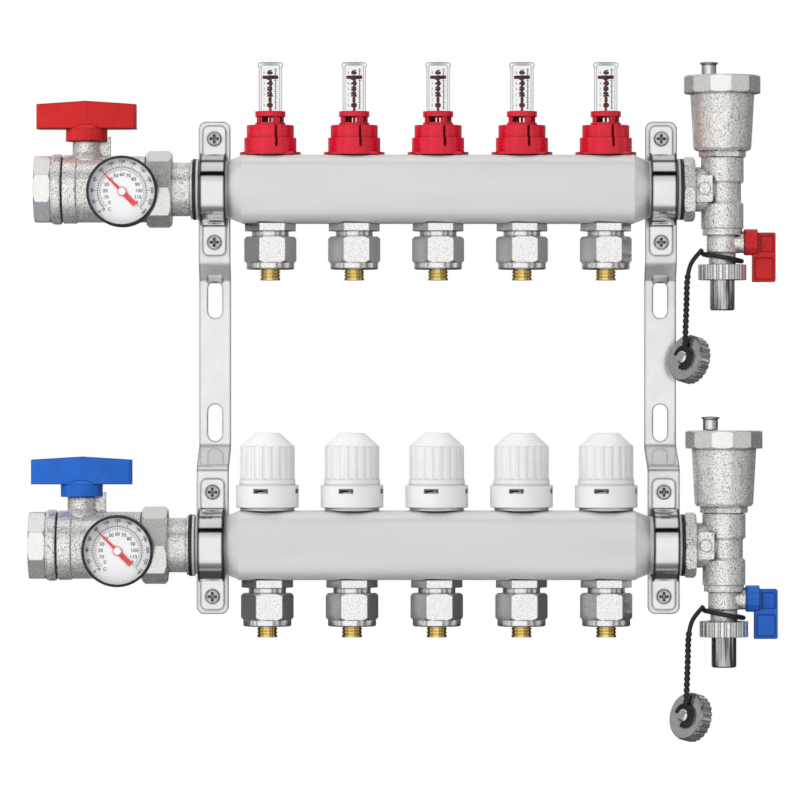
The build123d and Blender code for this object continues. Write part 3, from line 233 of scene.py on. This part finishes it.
def finish(name, colour, roughness, metallic=0.0, relief=None, strength=0.0, distance=0.0001,
           edge=0.0, reach=0.0, shade=(0.02, 0.02, 0.02), outline=None, **fixed):
    """Make a material. colour, roughness and relief are functions of the node tree. edge is the
    radius of its rounded edges, reach is how far into a joint its painted shade begins, shade is the
    colour of that painted shade, and outline is the colour of the painted shade line on outer edges."""
    material = bpy.data.materials.new(name)
    material.use_nodes = True
    tree = material.node_tree
    shader = tree.nodes["Principled BSDF"]
    rounded = node(tree, "ShaderNodeBevel", {"samples": 4}, {"Radius": edge})[0] if edge else None
    tone = colour(tree)
    # Painted shade: outer edges turn to the outline colour, a dark line standing in for the reflection an
    # edge catches.
    if outline:
        tone = mix(tree, off_edge(tree, rounded), outline, tone)
    # Painted shade: the colour darkens towards the shade colour where the surface is shut in, in joints
    # and grooves.
    if reach:
        tone = mix(tree, shut_in(tree, reach), shade, tone)
    tree.links.new(tone.out, shader.inputs["Base Color"])
    tree.links.new(roughness(tree).out, shader.inputs["Roughness"])
    shader.inputs["Metallic"].default_value = metallic
    for key, value in fixed.items():
        shader.inputs[key.replace("_", " ")].default_value = value
    if relief is not None:
        rounded = node(tree, "ShaderNodeBump", None, {"Strength": strength, "Distance": distance,
                                                      "Height": relief(tree), "Normal": rounded})[0]
    if rounded is not None:
        tree.links.new(rounded.out, shader.inputs["Normal"])
    return material


print("finish maker ready")

# %% [markdown]
# ## The metals
# The bars are stainless tube, ground along their length, so their fine scratches run with X. The
# clamps are bright zinc, and the folded brackets are zinc sheet, a little duller. Both get a painted
# dark line on their edges, standing in for the dark reflection that a rounded edge catches. The
# screws' zinc is darker, and painted shade turns it black in their slots. Cast brass fittings are
# sand-blasted before they are nickel plated, which gives them a fine grain and small dark pits.
# Octagons, union nuts and lids are machined after casting, the small nuts are turned from bar, and
# the hose tails are drawn tube, with dark and light streaks along it painted in as reflections.

# %% Sheet, strip and bar
def cast_grain(tree):
    """The grain that blasting leaves: two sizes of dimple."""
    return noise(tree, 1000.0, 1.0) * 0.5 + noise(tree, 2100.0, 1.0) * 0.5


def specks(light, dark):
    """Bright metal with small dark pits, as a function of the node tree."""
    return lambda tree: mix(tree, remap(noise(tree, 1500.0, 1.0), low=0.50, high=0.66), light, dark)


# In these finishes reach and shade paint shade into joints, and an outline paints a dark shade line on
# outer edges.
STAINLESS = finish(
    "stainless",
    tones(40.0, (0.66, 0.66, 0.67), (0.72, 0.72, 0.73), 3.0, (0.2, 1, 1)),
    values(900.0, 0.36, 0.46, 2.0, (0.02, 1, 1)),
    metallic=0.35, relief=grain(2600.0, 2.0, (0.012, 1, 1)), strength=0.03, distance=0.0001,
    edge=0.0012, reach=0.0010)
ZINC = finish(
    "zinc",
    tones(90.0, (0.80, 0.80, 0.81), (0.86, 0.86, 0.87)),
    values(300.0, 0.04, 0.09, 3.0),
    metallic=1.0, relief=grain(160.0, 1.0), strength=0.015, distance=0.0003,
    edge=0.0016, reach=0.0020, outline=(0.02, 0.02, 0.02))
SHEET = finish(
    "zinc_sheet",
    tones(90.0, (0.82, 0.82, 0.83), (0.88, 0.88, 0.89)),
    values(300.0, 0.10, 0.18, 3.0),
    metallic=0.72, relief=grain(160.0, 1.0), strength=0.015, distance=0.0003,
    edge=0.0018, reach=0.0020, outline=(0.01, 0.01, 0.01))
# The screws' black slots and black edge rings are painted shade, from reach, shade and outline.
SCREW = finish(
    "screw_zinc",
    tones(400.0, (0.40, 0.40, 0.41), (0.62, 0.62, 0.63)),
    values(600.0, 0.10, 0.20),
    metallic=1.0, relief=grain(900.0, 1.0), strength=0.08, distance=0.0001,
    edge=0.0008, reach=0.0034, shade=(0.0, 0.0, 0.0), outline=(0.0, 0.0, 0.0))
# The hose tails' dark and light streaks along their length are painted reflections.
TUBE = finish(
    "drawn_tube_painted_streaks",
    tones(520.0, (0.10, 0.10, 0.10), (0.86, 0.85, 0.84), 1.0, (1, 1, 0.10)),
    values(900.0, 0.10, 0.20, 2.0, (1, 1, 0.1)),
    metallic=0.95, relief=grain(900.0, 1.0), strength=0.10, distance=0.0001,
    edge=0.0005, reach=0.0016)
print("sheet, strip and bar", [m.name for m in (STAINLESS, ZINC, SHEET, SCREW, TUBE)])

# %% Nickel and brass
# Here too reach and shade paint shade into joints and grooves, and the turned nickel's outline is a
# painted dark line on its edges.
CAST = finish(
    "cast_nickel",
    specks((0.96, 0.95, 0.92), (0.30, 0.28, 0.25)),
    values(700.0, 0.24, 0.36),
    metallic=0.66, relief=cast_grain, strength=0.70, distance=0.00022,
    edge=0.0009, reach=0.0034)
MACHINED = finish(
    "machined_nickel",
    lambda tree: mix(tree, between(cast_grain(tree), 0, 1), (0.86, 0.85, 0.82), (0.97, 0.96, 0.93)),
    values(700.0, 0.18, 0.28),
    metallic=0.80, relief=cast_grain, strength=0.20, distance=0.00015,
    edge=0.0009, reach=0.0030)
TURNED = finish(
    "turned_nickel",
    specks((0.94, 0.93, 0.92), (0.72, 0.71, 0.70)),
    values(900.0, 0.08, 0.18, 2.0, (1, 1, 0.1)),
    metallic=0.92, relief=cast_grain, strength=0.50, distance=0.00014,
    edge=0.0008, reach=0.0020, outline=(0.30, 0.30, 0.30))
BRASS = finish(
    "brass",
    tones(300.0, (0.86, 0.58, 0.13), (1.0, 0.76, 0.28)),
    values(800.0, 0.12, 0.20, 2.0, (1, 1, 4)),
    metallic=1.0, relief=grain(1500.0, 1.0, (0.1, 0.1, 1)), strength=0.1, distance=0.0001,
    edge=0.0003, reach=0.0010, shade=(0.10, 0.05, 0.01))
print("nickel and brass", [m.name for m in (CAST, MACHINED, TURNED, BRASS)])

# %% [markdown]
# ## Plastics, paint and rubber
# The adjusting wheels are crimson plastic with the soft gloss of a moulded part. The handles are
# coated metal, with the faint orange peel of a powder coat.

# %% Plastics and paint
# The shade colours here are painted shade in joints, and the outlines are painted dark lines on edges.
CRIMSON = finish(
    "crimson_plastic",
    tones(120.0, (0.60, 0.004, 0.020), (0.68, 0.006, 0.030)),
    values(500.0, 0.24, 0.32),
    relief=grain(900.0), strength=0.04, distance=0.0001,
    edge=0.0005, reach=0.0022, shade=(0.10, 0.0, 0.004))
RED_COAT = finish(
    "red_coat",
    tones(80.0, (0.50, 0.010, 0.012), (0.58, 0.014, 0.016)),
    values(400.0, 0.22, 0.30),
    relief=grain(420.0), strength=0.06, distance=0.0002,
    edge=0.0012, reach=0.0014, shade=(0.16, 0.0, 0.0), outline=(0.22, 0.0, 0.0), Specular_IOR_Level=0.3)
BLUE_COAT = finish(
    "blue_coat",
    tones(80.0, (0.010, 0.110, 0.50), (0.014, 0.135, 0.58)),
    values(400.0, 0.22, 0.30),
    relief=grain(420.0), strength=0.06, distance=0.0002,
    edge=0.0012, reach=0.0014, shade=(0.0, 0.02, 0.16), outline=(0.0, 0.03, 0.22), Specular_IOR_Level=0.3)
# The caps' grey lines on the flute edges and the grey in their grooves are painted shade.
WHITE = finish(
    "white_plastic",
    tones(90.0, (0.80, 0.80, 0.80), (0.84, 0.84, 0.84)),
    values(600.0, 0.34, 0.44),
    relief=grain(1100.0), strength=0.04, distance=0.0001,
    edge=0.0007, reach=0.0030, shade=(0.20, 0.20, 0.21), outline=(0.50, 0.50, 0.51))
BLACK = finish(
    "black_plastic",
    tones(200.0, (0.010, 0.010, 0.012), (0.022, 0.022, 0.024)),
    values(500.0, 0.24, 0.36),
    relief=grain(1800.0), strength=0.10, distance=0.0001, edge=0.0004)
print("plastics and paint", [m.name for m in (CRIMSON, RED_COAT, BLUE_COAT, WHITE, BLACK)])

# %% Rubber, print and dial
RUBBER = finish(
    "rubber",
    tones(300.0, (0.006, 0.006, 0.007), (0.016, 0.016, 0.017)),
    values(700.0, 0.40, 0.55),
    relief=grain(1500.0), strength=0.15, distance=0.0001, edge=0.0002)
DIAL = finish(
    "dial",
    tones(60.0, (0.92, 0.92, 0.95), (0.95, 0.95, 0.97)),
    values(300.0, 0.42, 0.50, 1.0))
NEEDLE = finish(
    "needle",
    tones(300.0, (0.70, 0.030, 0.030), (0.80, 0.045, 0.040), 1.0),
    values(500.0, 0.30, 0.40, 1.0))
INK = finish(
    "black_ink",
    tones(500.0, (0.012, 0.012, 0.014), (0.03, 0.03, 0.03), 1.0),
    values(500.0, 0.4, 0.5, 1.0))
SOFT_INK = finish(
    "soft_ink",
    tones(500.0, (0.055, 0.040, 0.050), (0.085, 0.060, 0.075), 1.0),
    values(500.0, 0.4, 0.5, 1.0))
print("rubber, print and dial", [m.name for m in (RUBBER, DIAL, NEEDLE, INK, SOFT_INK)])

# %% [markdown]
# ## Clear plastic
# The sight tubes and the lenses are clear plastic. Face on, their wall hides nothing. Near the
# outline the view passes through more and more of it and is bent away, which draws the dark line
# that makes a clear tube readable on white. So the shader's opacity climbs steeply at the edge. A
# lens is nearly flat, so its edge stays pale and faint.

# %% Clear plastic
def clear(name, tint, haze, outline):
    """A clear wall: see-through face on, with an outline of a given tint and strength."""
    material = bpy.data.materials.new(name)
    material.use_nodes = True
    tree = material.node_tree
    shader = tree.nodes["Principled BSDF"]
    facing = node(tree, "ShaderNodeLayerWeight", None, {"Blend": 0.5})[FACING]
    rim = remap(facing, low=0.55, high=0.92)
    wear = values(400.0, 0.8, 1.2)(tree)
    tone = tones(300.0, tint, tuple(value * 0.8 for value in tint), 1.0)(tree)
    tree.links.new(tone.out, shader.inputs["Base Color"])
    shader.inputs["Roughness"].default_value = 0.05
    tree.links.new((rim * outline + wear * haze).out, shader.inputs["Alpha"])
    return material


CLEAR = clear("clear_plastic", tint=(0.10, 0.10, 0.11), haze=0.035, outline=0.75)
LENS = clear("gauge_lens", tint=(0.95, 0.96, 0.97), haze=0.02, outline=0.15)
print("clear plastic", [CLEAR.name, LENS.name])

# %% [markdown]
# ## Give each solid its finish
# The solids keep their shape. Each one is named for what it is, so a list of names and finishes
# is all that it takes.

# %% Assign the finishes
LOOPS = range(1, 6)
FINISHES = {
    STAINLESS: ["supply_bar", "return_bar"],
    ZINC: ["pipe_clamps", "supply_vent_cap", "return_vent_cap"],
    SHEET: ["left_bracket", "right_bracket"],
    SCREW: ["clamp_screws"],
    TUBE: ["hose_tails"],
    CAST: ["supply_valve_body", "return_valve_body", "valve_tailpieces", "end_tees", "vent_bodies",
           "drain_bodies"],
    MACHINED: ["valve_inlet_ends", "union_nuts", "vent_lids"],
    TURNED: ["loop_nipples", "compression_nuts", "hose_nuts", "drain_caps", "balancing_inserts",
             "supply_ball_and_stem", "return_ball_and_stem", "supply_drain_spindle",
             "return_drain_spindle"],
    BRASS: ["split_rings", "pipe_inserts", "flow_meter_bases"],
    CRIMSON: [f"flow_{kind}_{n}" for kind in ("meter_wheel", "indicator") for n in LOOPS],
    RED_COAT: ["supply_valve_handle", "supply_drain_lever"],
    BLUE_COAT: ["return_valve_handle", "return_drain_lever"],
    WHITE: [f"return_cap_{n}" for n in LOOPS],
    RUBBER: ["clamp_liners", "seals", "supply_strap", "return_strap", "strap_rings"],
    BLACK: ["gauge_cases"],
    DIAL: ["gauge_dials"],
    NEEDLE: ["supply_gauge_needle", "return_gauge_needle"],
    CLEAR: ["flow_meter_tubes"],
    LENS: ["gauge_lenses"],
}
dressed = set()
for material, names in FINISHES.items():
    for name in names:
        for slot in nodes[name].material_slots:
            slot.material = material
        dressed.add(name)
print("dressed", len(dressed), "left bare", sorted(set(nodes) - dressed))

# %% [markdown]
# ## Helpers for the fine pieces
# Every added piece rides on the body that carries it and sits at the origin, with its place in its
# mesh.

# %% Piece helpers
ARC_STEPS = 72


def piece(name, bm, material, body, smooth=True):
    """Turn a bmesh into a finished piece that rides on a body."""
    mesh = bpy.data.meshes.new(name)
    bm.to_mesh(mesh)
    bm.free()
    mesh.materials.append(material)
    for polygon in mesh.polygons:
        polygon.use_smooth = smooth
    made = bpy.data.objects.new(name, mesh)
    bpy.context.collection.objects.link(made)
    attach(made, body)
    return made


def add_text(bm, text, size, place, bold):
    """Add flat text to a bmesh, centred on a place matrix and read along its X axis."""
    data = bpy.data.curves.new("text", "FONT")
    data.body = text
    data.size = size
    data.align_x = "CENTER"
    data.align_y = "CENTER"
    data.offset = bold
    data.resolution_u = 3
    holder = bpy.data.objects.new("text", data)
    mesh = bpy.data.meshes.new_from_object(holder)
    mesh.transform(place)
    bm.from_mesh(mesh)
    bpy.data.meshes.remove(mesh)
    bpy.data.objects.remove(holder)
    bpy.data.curves.remove(data)


def add_bar(bm, length, width, place):
    """Add a flat bar, centred on a place matrix and long along its X axis."""
    bmesh.ops.create_grid(bm, x_segments=1, y_segments=1, size=0.5,
                          matrix=place @ Matrix.Diagonal((length, width, 1, 1)))


def add_arc(bm, radius, width, place, start, sweep):
    """Add a part of a flat ring by spinning its short cross line."""
    turn = place @ Matrix.Rotation(start, 4, "Z")
    inner = bm.verts.new(turn @ Vector((radius - width / 2, 0, 0)))
    outer = bm.verts.new(turn @ Vector((radius + width / 2, 0, 0)))
    edge = bm.edges.new((inner, outer))
    axis = place.to_3x3() @ Vector((0, 0, 1))
    bmesh.ops.spin(bm, geom=[inner, outer, edge], cent=place.translation, axis=axis,
                   angle=sweep, steps=ARC_STEPS)


def facing_front(place):
    """A matrix whose XY plane faces -Y at a place, with X to the right and Y up."""
    return Matrix.Translation(place) @ Matrix.Rotation(math.radians(90), 4, "X")


print("piece helpers ready")

# %% [markdown]
# ## The thermometer's dial
# The dial carries two scales that share one arc: degrees Fahrenheit outside it and Celsius inside.
# Each mark is a thin flat bar that stands a hair above the dial, so that it needs no picture.

# %% The dial's layout
DIAL_FRONT = Vector((0, -31.77, 0)) * MM
HUB_FRONT = Vector((0, -32.64, 0)) * MM
HUB_FOOT, HUB_TOP, HUB_HEIGHT = 2.3 * MM, 2.1 * MM, 0.5 * MM
SCALE_START, SCALE_SWEEP = 222.0, 264.0
ARC, ARC_WIDTH = 14.3 * MM, 0.34 * MM
READINGS = 12
SCALES = [
    {"step": 20, "radius": 17.7 * MM, "size": 2.5 * MM, "lean": 1.0},
    {"step": 10, "radius": 9.9 * MM, "size": 2.9 * MM, "lean": 0.0},
]
LETTERS = {"F": Vector((-10.4, -11.1, 0)) * MM, "C": Vector((-7.4, -10.6, 0)) * MM}
LETTER_SIZE, LETTER_BOLD, NUMBER_BOLD = 2.7 * MM, 0.08 * MM, 0.07 * MM


def on_arc(share):
    """The angle of a mark that stands at a share of the scale."""
    return math.radians(SCALE_START - SCALE_SWEEP * share)


def add_marks(bm, face, count, long_every, long, short, width, foot, side):
    """Draw a scale's marks from a radius outward, side 1, or inward, side -1."""
    for mark in range(count + 1):
        length = (long if mark % long_every == 0 else short) * MM
        turn = face @ Matrix.Rotation(on_arc(mark / count), 4, "Z")
        add_bar(bm, length, width, turn @ Matrix.Translation((foot + side * length / 2, 0, 0)))


def add_reading(bm, face, mark, step, radius, size, lean):
    """Print a number at its mark. lean turns it with the scale, from 0 to 1."""
    angle = on_arc(mark / READINGS)
    spot = Matrix.Translation((radius * math.cos(angle), radius * math.sin(angle), 0))
    tilt = Matrix.Rotation((angle - math.pi / 2) * lean, 4, "Z")
    add_text(bm, str(step * mark), size, face @ spot @ tilt, NUMBER_BOLD)


print("dial layout", SCALE_SWEEP, "degrees in", READINGS, "steps")

# %% Dial print
for name, centre in SETS.items():
    face = facing_front(centre + GAUGE + DIAL_FRONT)
    marks = bmesh.new()
    add_arc(marks, ARC, ARC_WIDTH, face, on_arc(1.0), math.radians(SCALE_SWEEP))
    add_marks(marks, face, 48, 4, long=2.3, short=1.1, width=0.30 * MM, foot=ARC, side=1)
    add_marks(marks, face, 60, 5, long=2.0, short=1.4, width=0.26 * MM, foot=ARC - 0.5 * MM, side=-1)
    piece(f"{name}_dial_marks", marks, INK, "frame", smooth=False)
    readings = bmesh.new()
    for mark in range(READINGS + 1):
        for scale in SCALES:
            add_reading(readings, face, mark, **scale)
    for letter, spot in LETTERS.items():
        add_text(readings, letter, LETTER_SIZE, face @ Matrix.Translation(spot), LETTER_BOLD)
    piece(f"{name}_dial_readings", readings, SOFT_INK, "frame", smooth=False)
    hub = bmesh.new()
    hub_place = facing_front(centre + GAUGE + HUB_FRONT) @ Matrix.Translation((0, 0, HUB_HEIGHT / 2))
    bmesh.ops.create_cone(hub, cap_ends=True, segments=32, radius1=HUB_FOOT, radius2=HUB_TOP,
                          depth=HUB_HEIGHT, matrix=hub_place)
    piece(f"{name}_needle_hub", hub, DIAL, f"{name}_needle", smooth=False)
print("dial print done for", list(SETS))

# %% [markdown]
# ## The flow meter's scale
# The scale is printed on the clear tube, so each mark is bent round the tube after it is drawn
# flat. Only plain numbers and ticks are used. Bold wide numbers stand in the middle, and fine ones
# on the left of them.

# %% Tube print
TUBE_RADIUS, PRINT_LIFT = 6.9 * MM, 0.05 * MM
TUBE_FOOT, TUBE_HEAD = 47.35 * MM, 71.75 * MM
NUMBERS, NUMBER_PITCH, FIRST_NUMBER = 7, 3.27 * MM, 0.72
BOLD_SIZE, BOLD_WEIGHT, BOLD_X = 3.1 * MM, 0.40 * MM, -0.1 * MM
BOLD_STRETCH = Matrix.Diagonal((1.7, 1.0, 1.0, 1.0))
FINE_SIZE, FINE_WEIGHT, FINE_X = 1.9 * MM, 0.03 * MM, -3.7 * MM
TICKS, TICK_PITCH, FIRST_TICK, LONG_EVERY = 22, 1.09 * MM, 0.8 * MM, 3
LONG_TICK, SHORT_TICK, TICK_WIDTH, TICK_X = 2.4 * MM, 1.2 * MM, 0.30 * MM, 3.5 * MM
LINE_WIDTH, LINE_X = 0.42 * MM, 3.4 * MM
LONGEST_FLAT = 1.2 * MM


def bend_round(bm, axis, radius):
    """Wrap flat print, drawn in XZ, onto the front of a tube."""
    long_edges = [edge for edge in bm.edges if edge.calc_length() > LONGEST_FLAT]
    bmesh.ops.subdivide_edges(bm, edges=long_edges, cuts=2)
    for vertex in bm.verts:
        angle = (vertex.co.x - axis.x) / radius
        vertex.co.x = axis.x + radius * math.sin(angle)
        vertex.co.y = axis.y - radius * math.cos(angle)


for number, offset in enumerate(PORTS, 1):
    axis = SETS["supply"] + Vector((offset, 0, 0))
    bold, fine = bmesh.new(), bmesh.new()
    for mark in range(NUMBERS):
        height = TUBE_FOOT + (mark + FIRST_NUMBER) * NUMBER_PITCH
        bold_spot = facing_front(axis + Vector((BOLD_X, 0, height))) @ BOLD_STRETCH
        add_text(bold, str(mark), BOLD_SIZE, bold_spot, BOLD_WEIGHT)
        add_text(fine, str(mark), FINE_SIZE, facing_front(axis + Vector((FINE_X, 0, height))), FINE_WEIGHT)
    for mark in range(TICKS):
        height = TUBE_FOOT + FIRST_TICK + mark * TICK_PITCH
        length = LONG_TICK if mark % LONG_EVERY == 0 else SHORT_TICK
        add_bar(fine, length, TICK_WIDTH, facing_front(axis + Vector((TICK_X, 0, height))))
    line_spot = facing_front(axis + Vector((LINE_X, 0, (TUBE_FOOT + TUBE_HEAD) / 2)))
    add_bar(fine, LINE_WIDTH, TUBE_HEAD - TUBE_FOOT, line_spot)
    for print_mesh in (bold, fine):
        bend_round(print_mesh, axis, TUBE_RADIUS + PRINT_LIFT)
    piece(f"tube_numbers_{number}", bold, INK, "frame", smooth=False)
    piece(f"tube_ticks_{number}", fine, SOFT_INK, "frame", smooth=False)
print("tube print done on", len(PORTS), "tubes")

# %% [markdown]
# ## The retaining straps
# Each drain cap hangs on a soft beaded strap. A strap is one smooth curve through the points of
# its route, and the beads are small balls that follow the curve as Blender draws it.

# %% Straps
STRAP_POINTS = [(-14.2, -2.4, -38.2), (-17.6, -2.9, -41.9), (-20.0, -3.4, -46.8), (-21.3, -3.9, -54.5),
                (-21.5, -4.5, -64.0), (-21.9, -5.2, -74.5), (-22.3, -5.9, -84.0), (-22.52, -5.93, -91.92)]
STRAP_DIAMETER = 2.7 * MM
FIRST_BEAD, BEAD_PITCH, BEAD_RADIUS = 16.0 * MM, 3.3 * MM, 1.95 * MM


def strap_curve(name, points):
    """A strap's own line, as a NURBS curve with a round section."""
    data = bpy.data.curves.new(name, "CURVE")
    data.dimensions = "3D"
    data.bevel_depth = STRAP_DIAMETER / 2
    data.bevel_resolution = 6
    data.resolution_u = 8
    data.use_fill_caps = True
    spline = data.splines.new("NURBS")
    spline.points.add(len(points) - 1)
    for point, co in zip(spline.points, points):
        point.co = (*co, 1.0)
    spline.order_u = 3
    spline.use_endpoint_u = True
    made = bpy.data.objects.new(name, data)
    bpy.context.collection.objects.link(made)
    return made


def line_of(curve):
    """The points that a curve runs through, read with its section taken off."""
    depth = curve.data.bevel_depth
    curve.data.bevel_depth = 0
    mesh = bpy.data.meshes.new_from_object(curve)
    curve.data.bevel_depth = depth
    points = [vertex.co.copy() for vertex in mesh.vertices]
    bpy.data.meshes.remove(mesh)
    return points


for name, centre in SETS.items():
    tee = centre + Vector((TEE_X, 0, 0))
    points = [tee + Vector(point) * MM for point in STRAP_POINTS]
    strap = strap_curve(f"{name}_beaded_strap", points)
    strap.data.materials.append(RUBBER)
    beads = bmesh.new()
    walked, due = 0.0, FIRST_BEAD
    line = line_of(strap)
    for before, after in zip(line, line[1:]):
        step = (after - before).length
        while walked + step >= due:
            at = Matrix.Translation(before.lerp(after, (due - walked) / step))
            bmesh.ops.create_icosphere(beads, subdivisions=2, radius=BEAD_RADIUS, matrix=at)
            due += BEAD_PITCH
        walked += step
    print(name, "strap", round(walked / MM, 1), "mm")
    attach(strap, "frame")
    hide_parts(f"{name}_strap")
    beaded = piece(f"{name}_strap_beads", beads, RUBBER, "frame")
    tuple(points[0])

# %% [markdown]
# ## The studio's reflections
# Bright metal has hardly any colour of its own: it shows what stands round it. A product studio
# puts white screens in front, black flags between them and darkness behind, and that is what
# draws the crisp bands on a chromed clamp. So mirrors see a world made of such bands. One ramp
# runs once round the bars: from behind it passes under them, is in front at its middle, and goes
# back over the top. The other ramp runs from the left end to the right end.

# %% The bands that mirrors see
def grey_ramp(tree, place, stops):
    """A ramp of greys from (place, brightness) stops."""
    greys = [(at, (value, value, value)) for at, value in stops]
    return node(tree, "ShaderNodeValToRGB", {"stops": greys}, [place])[0]


OVER_STOPS = (
    (0.0, 0.07), (0.222, 0.07), (0.250, 0.10), (0.257, 0.42), (0.273, 0.42), (0.280, 0.14),
    (0.328, 0.30), (0.342, 0.80), (0.370, 0.96), (0.50, 1.0), (0.556, 1.0), (0.590, 0.78),
    (0.615, 0.64), (0.622, 0.005), (0.664, 0.005), (0.672, 0.72), (0.765, 0.82), (0.775, 0.12),
    (0.805, 0.12), (0.815, 0.62), (0.96, 0.58), (1.0, 0.30))
ASIDE_STOPS = (
    (0.0, 0.60), (0.045, 0.35), (0.055, 1.0), (0.08, 1.0), (0.09, 0.14), (0.12, 0.14),
    (0.15, 0.95), (0.24, 1.0), (0.50, 1.0), (0.70, 0.96), (0.74, 0.30), (0.82, 0.22),
    (0.85, 0.70), (0.89, 0.70), (0.92, 0.10), (0.929, 0.50), (0.938, 0.06), (0.96, 0.10),
    (1.0, 0.60))
world = bpy.data.worlds.new("studio")
bpy.context.scene.world = world
world.use_nodes = True
tree = world.node_tree
for old in list(tree.nodes):
    tree.nodes.remove(old)
direction = node(tree, "ShaderNodeTexCoord")[GENERATED_PLACE]
x, y, z = node(tree, "ShaderNodeSeparateXYZ", None, [direction])
round_bar = z.math("ARCTAN2", y * -1.0) * (0.5 / math.pi) + 0.5
over = grey_ramp(tree, round_bar, OVER_STOPS)
aside = grey_ramp(tree, x * 0.5 + 0.5, ASIDE_STOPS)
bands = node(tree, "ShaderNodeVectorMath", {"operation": "MULTIPLY"}, [over, aside])[0]
print("reflection bands", len(OVER_STOPS), "round and", len(ASIDE_STOPS), "along")

# %% [markdown]
# ## The studio's light
# The camera sees plain white behind the object, straight on and through clear plastic. A soft
# even world and six large lamps light it, at a level at which a colour looks as it is written.

# %% World
def background(tree, colour, strength):
    """A Background node's light, from a colour or a socket."""
    return node(tree, "ShaderNodeBackground", None, {"Color": colour, "Strength": strength})[0]


path = node(tree, "ShaderNodeLightPath")
ambient = background(tree, (0.62, 0.62, 0.62, 1.0), 0.50)
mirror_light = background(tree, bands, 1.0)
white_light = background(tree, (1.0, 1.0, 1.0, 1.0), 1.0)
lit = node(tree, "ShaderNodeMixShader", None, [path[GLOSSY_RAY], ambient, mirror_light])[0]
seen = path[CAMERA_RAY].math("MAXIMUM", path[TRANSMISSION_RAY])
both = node(tree, "ShaderNodeMixShader", None, [seen, lit, white_light])[0]
output = tree.nodes.new("ShaderNodeOutputWorld")
tree.links.new(both.out, output.inputs[0])
print("world", world.name)

# %% Lamps
LAMPS = [
    ("key", (-1.1, -1.2, 0.8), 0.8, 16.0),
    ("fill", (1.1, -1.2, 0.1), 0.9, 3.5),
    ("top", (0.0, -0.2, 1.4), 1.2, 10.0),
    ("low", (0.0, -1.3, -1.0), 1.0, 4.0),
    ("left", (-1.6, -0.3, 0.2), 0.8, 5.0),
    ("right", (1.6, -0.2, 0.3), 0.8, 3.5),
]
middle = (cad_low + cad_high) / 2


def lamp(name, place, aim, size, power):
    """A soft square lamp that points at a place."""
    data = bpy.data.lights.new(name, "AREA")
    data.shape = "SQUARE"
    data.size = size
    data.energy = power
    made = bpy.data.objects.new(name, data)
    made.location = place
    made.rotation_euler = (aim - place).to_track_quat("-Z", "Y").to_euler()
    made.visible_camera = False
    made.visible_glossy = False
    bpy.context.collection.objects.link(made)


for name, offset, size, power in LAMPS:
    lamp(name, middle + Vector(offset), middle, size, power)
print("lamps", [entry[0] for entry in LAMPS])

# %% Floor
FLOOR_DROP, FLOOR_HALF = 0.10, 6.0
FLOOR_GLOW, GLOW_SHARE = 1.12, 0.86


def floor_material():
    """A pale floor that the camera sees as nearly white, with a little of its shadow."""
    material = bpy.data.materials.new("pale_floor")
    material.use_nodes = True
    tree = material.node_tree
    shader = tree.nodes["Principled BSDF"]
    tone = tones(6.0, (0.80, 0.80, 0.80), (0.83, 0.83, 0.83))(tree)
    tree.links.new(tone.out, shader.inputs["Base Color"])
    shader.inputs["Roughness"].default_value = 0.8
    white = node(tree, "ShaderNodeEmission", None, [(1.0, 1.0, 1.0, 1.0), FLOOR_GLOW])[0]
    path = node(tree, "ShaderNodeLightPath")
    shown = path[CAMERA_RAY].math("MAXIMUM", path[TRANSMISSION_RAY]) * GLOW_SHARE
    plain = Socket(tree, shader.outputs[0])
    both = node(tree, "ShaderNodeMixShader", None, [shown, plain, white])[0]
    tree.links.new(both.out, tree.nodes["Material Output"].inputs[0])
    return material


ground = bmesh.new()
ground_place = Matrix.Translation((middle.x, middle.y, cad_low.z - FLOOR_DROP))
bmesh.ops.create_grid(ground, x_segments=1, y_segments=1, size=FLOOR_HALF, matrix=ground_place)
ground_mesh = bpy.data.meshes.new("floor")
ground.to_mesh(ground_mesh)
ground.free()
ground_mesh.materials.append(floor_material())
floor = bpy.data.objects.new("floor", ground_mesh)
floor.visible_glossy = False
bpy.context.collection.objects.link(floor)
print("floor at", round(cad_low.z - FLOOR_DROP, 3))
